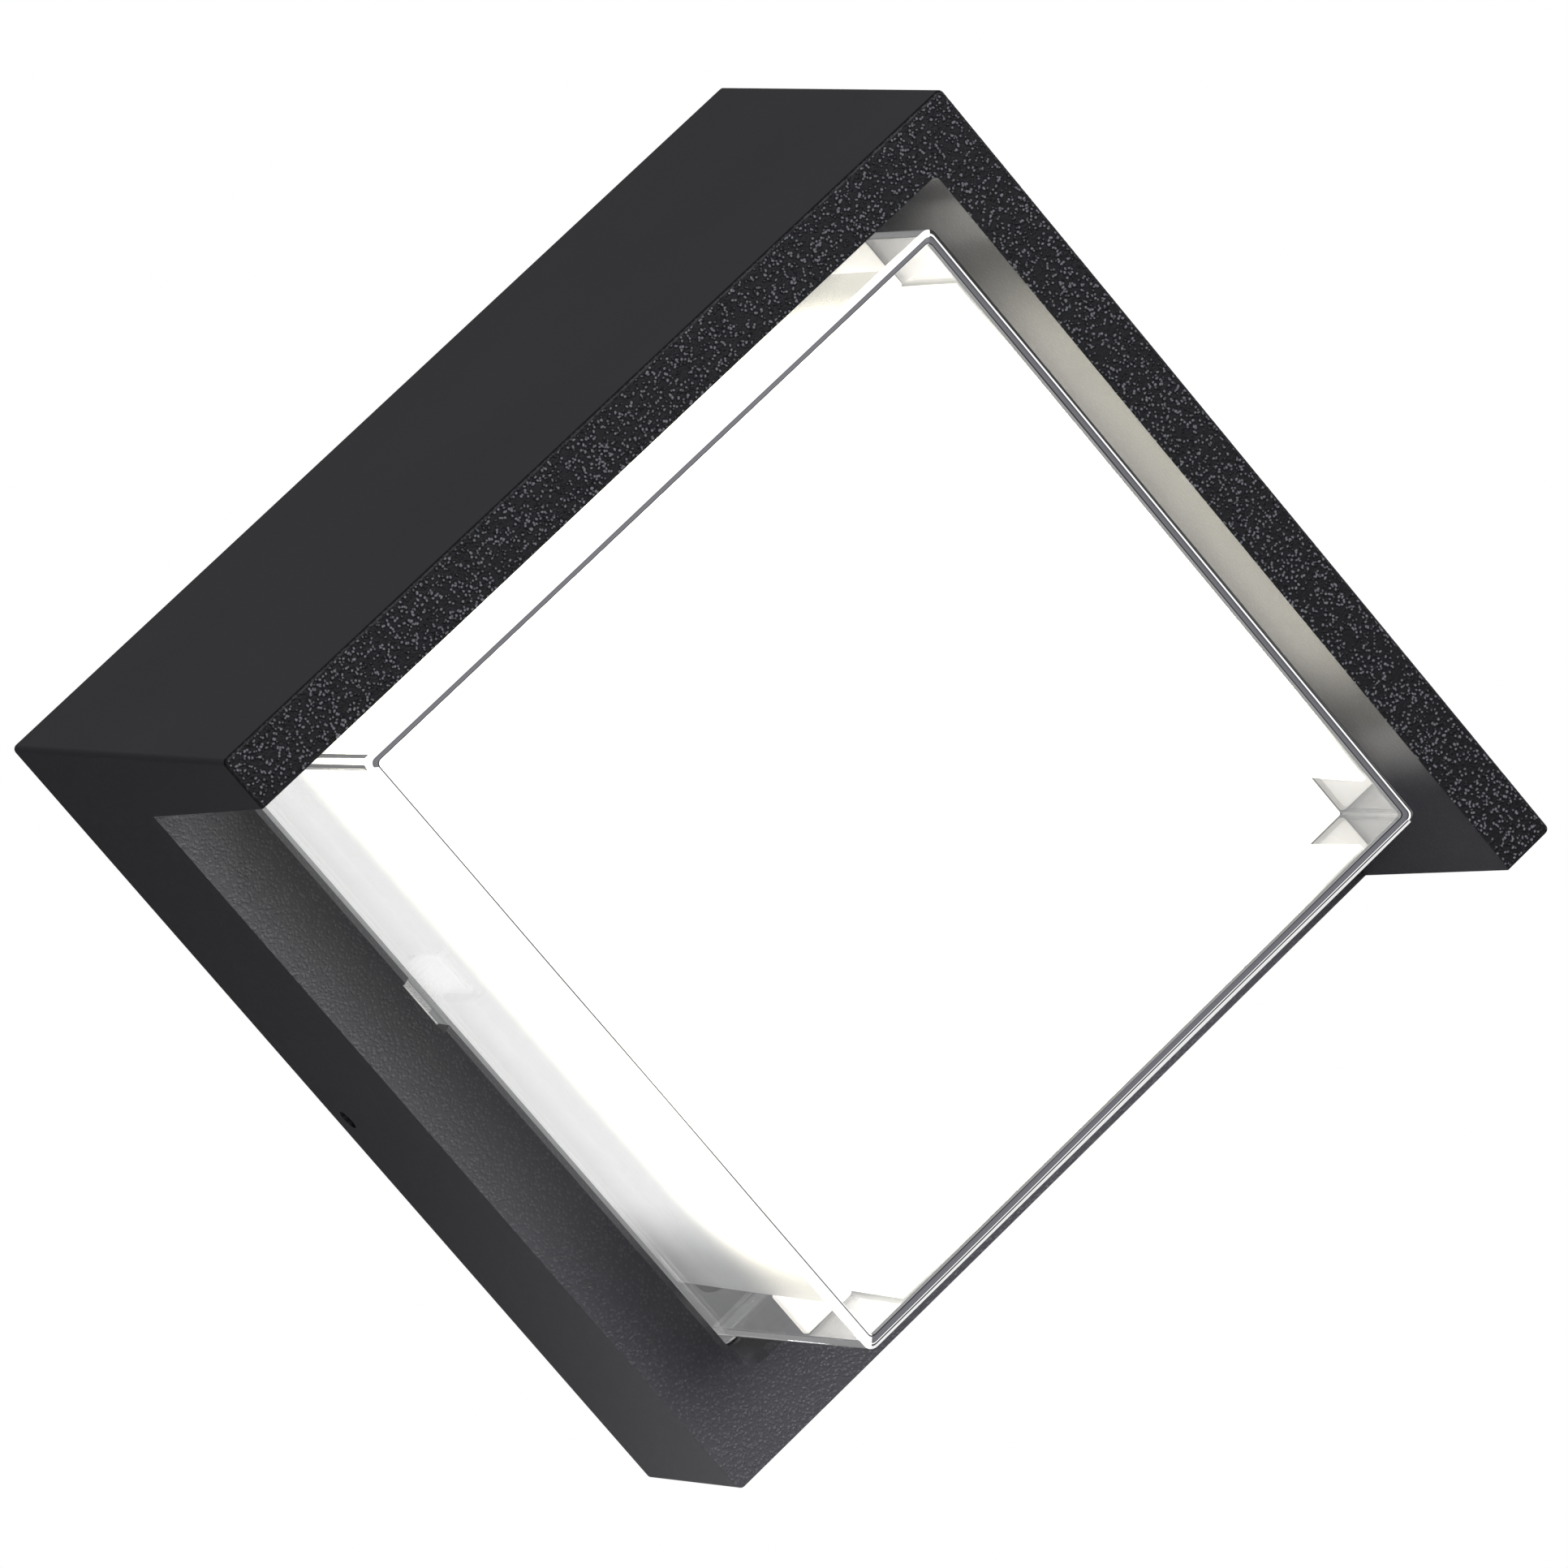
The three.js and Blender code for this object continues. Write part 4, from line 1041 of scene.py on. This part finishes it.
# ---------------------------------------------------------------------------
# Clips: one spring clip of stainless strip on each side presses the cover's
# flange on its gasket. Terminal clamps are sawn from brass bar, with a bore for
# the lead, and the earth lug is punched from plated sheet.
# ---------------------------------------------------------------------------
for number in range(1, 5):
    softened(f"cover_clip_{number}", 0.00008, STAINLESS)
for number in range(1, 4):
    softened(f"terminal_clamp_{number}", 0.0002, BRASS)
softened("earth_lug", 0.00015, ZINC)


# ---------------------------------------------------------------------------
# Wall bracket: folded from zinc-plated steel sheet, with a wing to each side. It
# is screwed to the wall and shows the plating's spangle where light falls on it.
# ---------------------------------------------------------------------------
SPANGLE_SIZE = 0.006


def spangled_zinc():
    """Plated sheet with crystals of slightly different grey and gloss."""
    material, tree, shader = new_material("spangled_zinc")
    links = tree.links
    where = add_node(tree, "ShaderNodeTexCoord")
    crystals = add_node(tree, "ShaderNodeTexVoronoi", Scale=1 / SPANGLE_SIZE)
    links.new(where.outputs["Object"], crystals.inputs["Vector"])
    grey = add_node(tree, "ShaderNodeSeparateColor")
    links.new(crystals.outputs["Color"], grey.inputs["Color"])
    tone = add_node(tree, "ShaderNodeMapRange", To_Min=0.44, To_Max=0.62)
    links.new(grey.outputs["Red"], tone.inputs["Value"])
    links.new(tone.outputs["Result"], shader.inputs["Base Color"])
    gloss = add_node(tree, "ShaderNodeMapRange", To_Min=0.26, To_Max=0.44)
    links.new(grey.outputs["Green"], gloss.inputs["Value"])
    links.new(gloss.outputs["Result"], shader.inputs["Roughness"])
    shader.inputs["Metallic"].default_value = 1.0
    return material


softened("wall_bracket", 0.0003, spangled_zinc())


# ---------------------------------------------------------------------------
# Leads: five stranded leads in coloured sleeves, each swept along its own path.
# Brown and blue run from the terminals to the driver, green and yellow to the
# earth lug, red and black from the driver through the floor to the LED board.
# ---------------------------------------------------------------------------
LEAD_RADIUS = 0.0011
LEAD_SIDES = 16
LEAD_STEP = 0.001
LEAD_START = -27.4
STRIPE_START = 0.66  # the stripe takes up the rest of the way round
LEADS = (  # name, slot, colour, stripe colour, places in mm: x and y in the square, depth
    ("lead_line", "brown_sleeve", (0.14, 0.055, 0.022), None, (
        (LEAD_START, -7, 13.5), (-17, -7, 13.5), (-10, -12, 13.2), (-6, -30, 13), (-2, -48, 13),
        (8, -61, 13), (19, -61, 13), (24, -51, 13), (24, -38, 13),
    )),
    ("lead_neutral", "blue_sleeve", (0.025, 0.11, 0.42), None, (
        (LEAD_START, 4, 13.5), (-17, 4, 13.5), (-6, -2, 13.2), (-1, -18, 13), (2, -38, 13),
        (6, -51, 13), (12, -55, 13), (16, -48, 13), (16, -38, 13),
    )),
    ("lead_earth", "green_yellow_sleeve", (0.04, 0.30, 0.05), (0.80, 0.66, 0.04), (
        (LEAD_START, 15, 13.5), (-18, 15.5, 13.5), (-11, 22, 13.8), (-11, 29, 15), (-17, 31.5, 16.5),
        (-23, 33, 17.2), (-26.4, 37.2, 17.3),
    )),
    ("lead_led_plus", "red_sleeve", (0.45, 0.02, 0.018), None, (
        (16, 38, 13), (16, 46, 13), (11, 51, 13), (2, 51, 13), (-5, 46.5, 13.5), (-9.6, 41, 15.5),
        (-10.3, 38.4, 19), (-10.3, 38, 25), (-10.2, 36.6, 28.6), (-8.4, 33, 29.1),
    )),
    ("lead_led_minus", "black_sleeve", (0.02, 0.02, 0.021), None, (
        (24, 38, 13), (24, 50, 13), (18, 57, 13), (6, 58, 13), (-6, 55, 13), (-12.5, 48, 14),
        (-13.8, 41.5, 16), (-13.7, 38.4, 19), (-13.7, 38, 25), (-13.7, 36.6, 28.6), (-15.8, 32.8, 29.1),
    )),
)


def lead_tree():
    """Geometry nodes: a round section swept along a path, with how far round it as an attribute."""
    tree, inside, outside = node_group(
        "lead", "GeometryNodeTree",
        (
            ("Path", "Geometry"), ("Radius", "Float", LEAD_RADIUS), ("Step", "Float", LEAD_STEP),
            ("Sides", "Int", LEAD_SIDES), ("Material", "Material"),
        ),
        (("Geometry", "Geometry"),),
    )
    path = tree.nodes.new("GeometryNodeMeshToCurve")
    bend = tree.nodes.new("GeometryNodeCurveSplineType")
    bend.spline_type = "CATMULL_ROM"
    even = tree.nodes.new("GeometryNodeResampleCurve")
    even.mode = "LENGTH"
    section = tree.nodes.new("GeometryNodeCurvePrimitiveCircle")
    along = tree.nodes.new("GeometryNodeSplineParameter")
    keep = add_node(tree, "GeometryNodeStoreNamedAttribute", data_type="FLOAT", domain="POINT")
    keep.inputs["Name"].default_value = "around"
    sweep = tree.nodes.new("GeometryNodeCurveToMesh")
    sweep.inputs["Fill Caps"].default_value = True
    real = tree.nodes.new("GeometryNodeRealizeInstances")
    paint = tree.nodes.new("GeometryNodeSetMaterial")
    links = tree.links
    links.new(inside.outputs["Path"], path.inputs["Mesh"])
    links.new(path.outputs["Curve"], bend.inputs["Curve"])
    links.new(bend.outputs["Curve"], even.inputs["Curve"])
    links.new(inside.outputs["Step"], even.inputs["Length"])
    links.new(even.outputs["Curve"], sweep.inputs["Curve"])
    links.new(inside.outputs["Sides"], section.inputs["Resolution"])
    links.new(inside.outputs["Radius"], section.inputs["Radius"])
    links.new(section.outputs["Curve"], keep.inputs["Geometry"])
    links.new(along.outputs["Factor"], keep.inputs["Value"])
    links.new(keep.outputs["Geometry"], sweep.inputs["Profile Curve"])
    links.new(sweep.outputs["Mesh"], real.inputs["Geometry"])
    links.new(real.outputs["Geometry"], paint.inputs["Geometry"])
    links.new(inside.outputs["Material"], paint.inputs["Material"])
    links.new(paint.outputs["Geometry"], outside.inputs["Geometry"])
    return tree


LEAD_TREE = lead_tree()


def add_stripe(material, colour, stripe):
    """Turns part of the way round a lead's sleeve into a stripe of another colour."""
    tree = material.node_tree
    shader = tree.nodes["Principled BSDF"]
    around = add_node(tree, "ShaderNodeAttribute", attribute_name="around")
    share = worked_out(tree, "GREATER_THAN", around.outputs["Fac"], STRIPE_START)
    tint = add_node(tree, "ShaderNodeMix", data_type="RGBA")
    tint.inputs["A"].default_value = (*colour, 1.0)
    tint.inputs["B"].default_value = (*stripe, 1.0)
    tree.links.new(share, tint.inputs["Factor"])
    tree.links.new(tint.outputs["Result"], shader.inputs["Base Color"])


for lead_name, sleeve, sleeve_colour, stripe_colour, lead_places in LEADS:
    sleeving = worn_finish(sleeve, sleeve_colour, 0.42, speck=0.0004, spread=0.06)
    if stripe_colour:
        add_stripe(sleeving, sleeve_colour, stripe_colour)
    run = [at(x / 1000, y / 1000, z / 1000) for x, y, z in lead_places]
    path_mesh = bpy.data.meshes.new("path")
    path_mesh.from_pydata(run, [(i, i + 1) for i in range(len(run) - 1)], [])
    settings = {"Radius": LEAD_RADIUS, "Step": LEAD_STEP, "Sides": LEAD_SIDES, "Material": sleeving}
    swept = grown(path_mesh, LEAD_TREE, settings)
    finish(swept, f"{lead_name}_swept", sleeving, [lead_name])
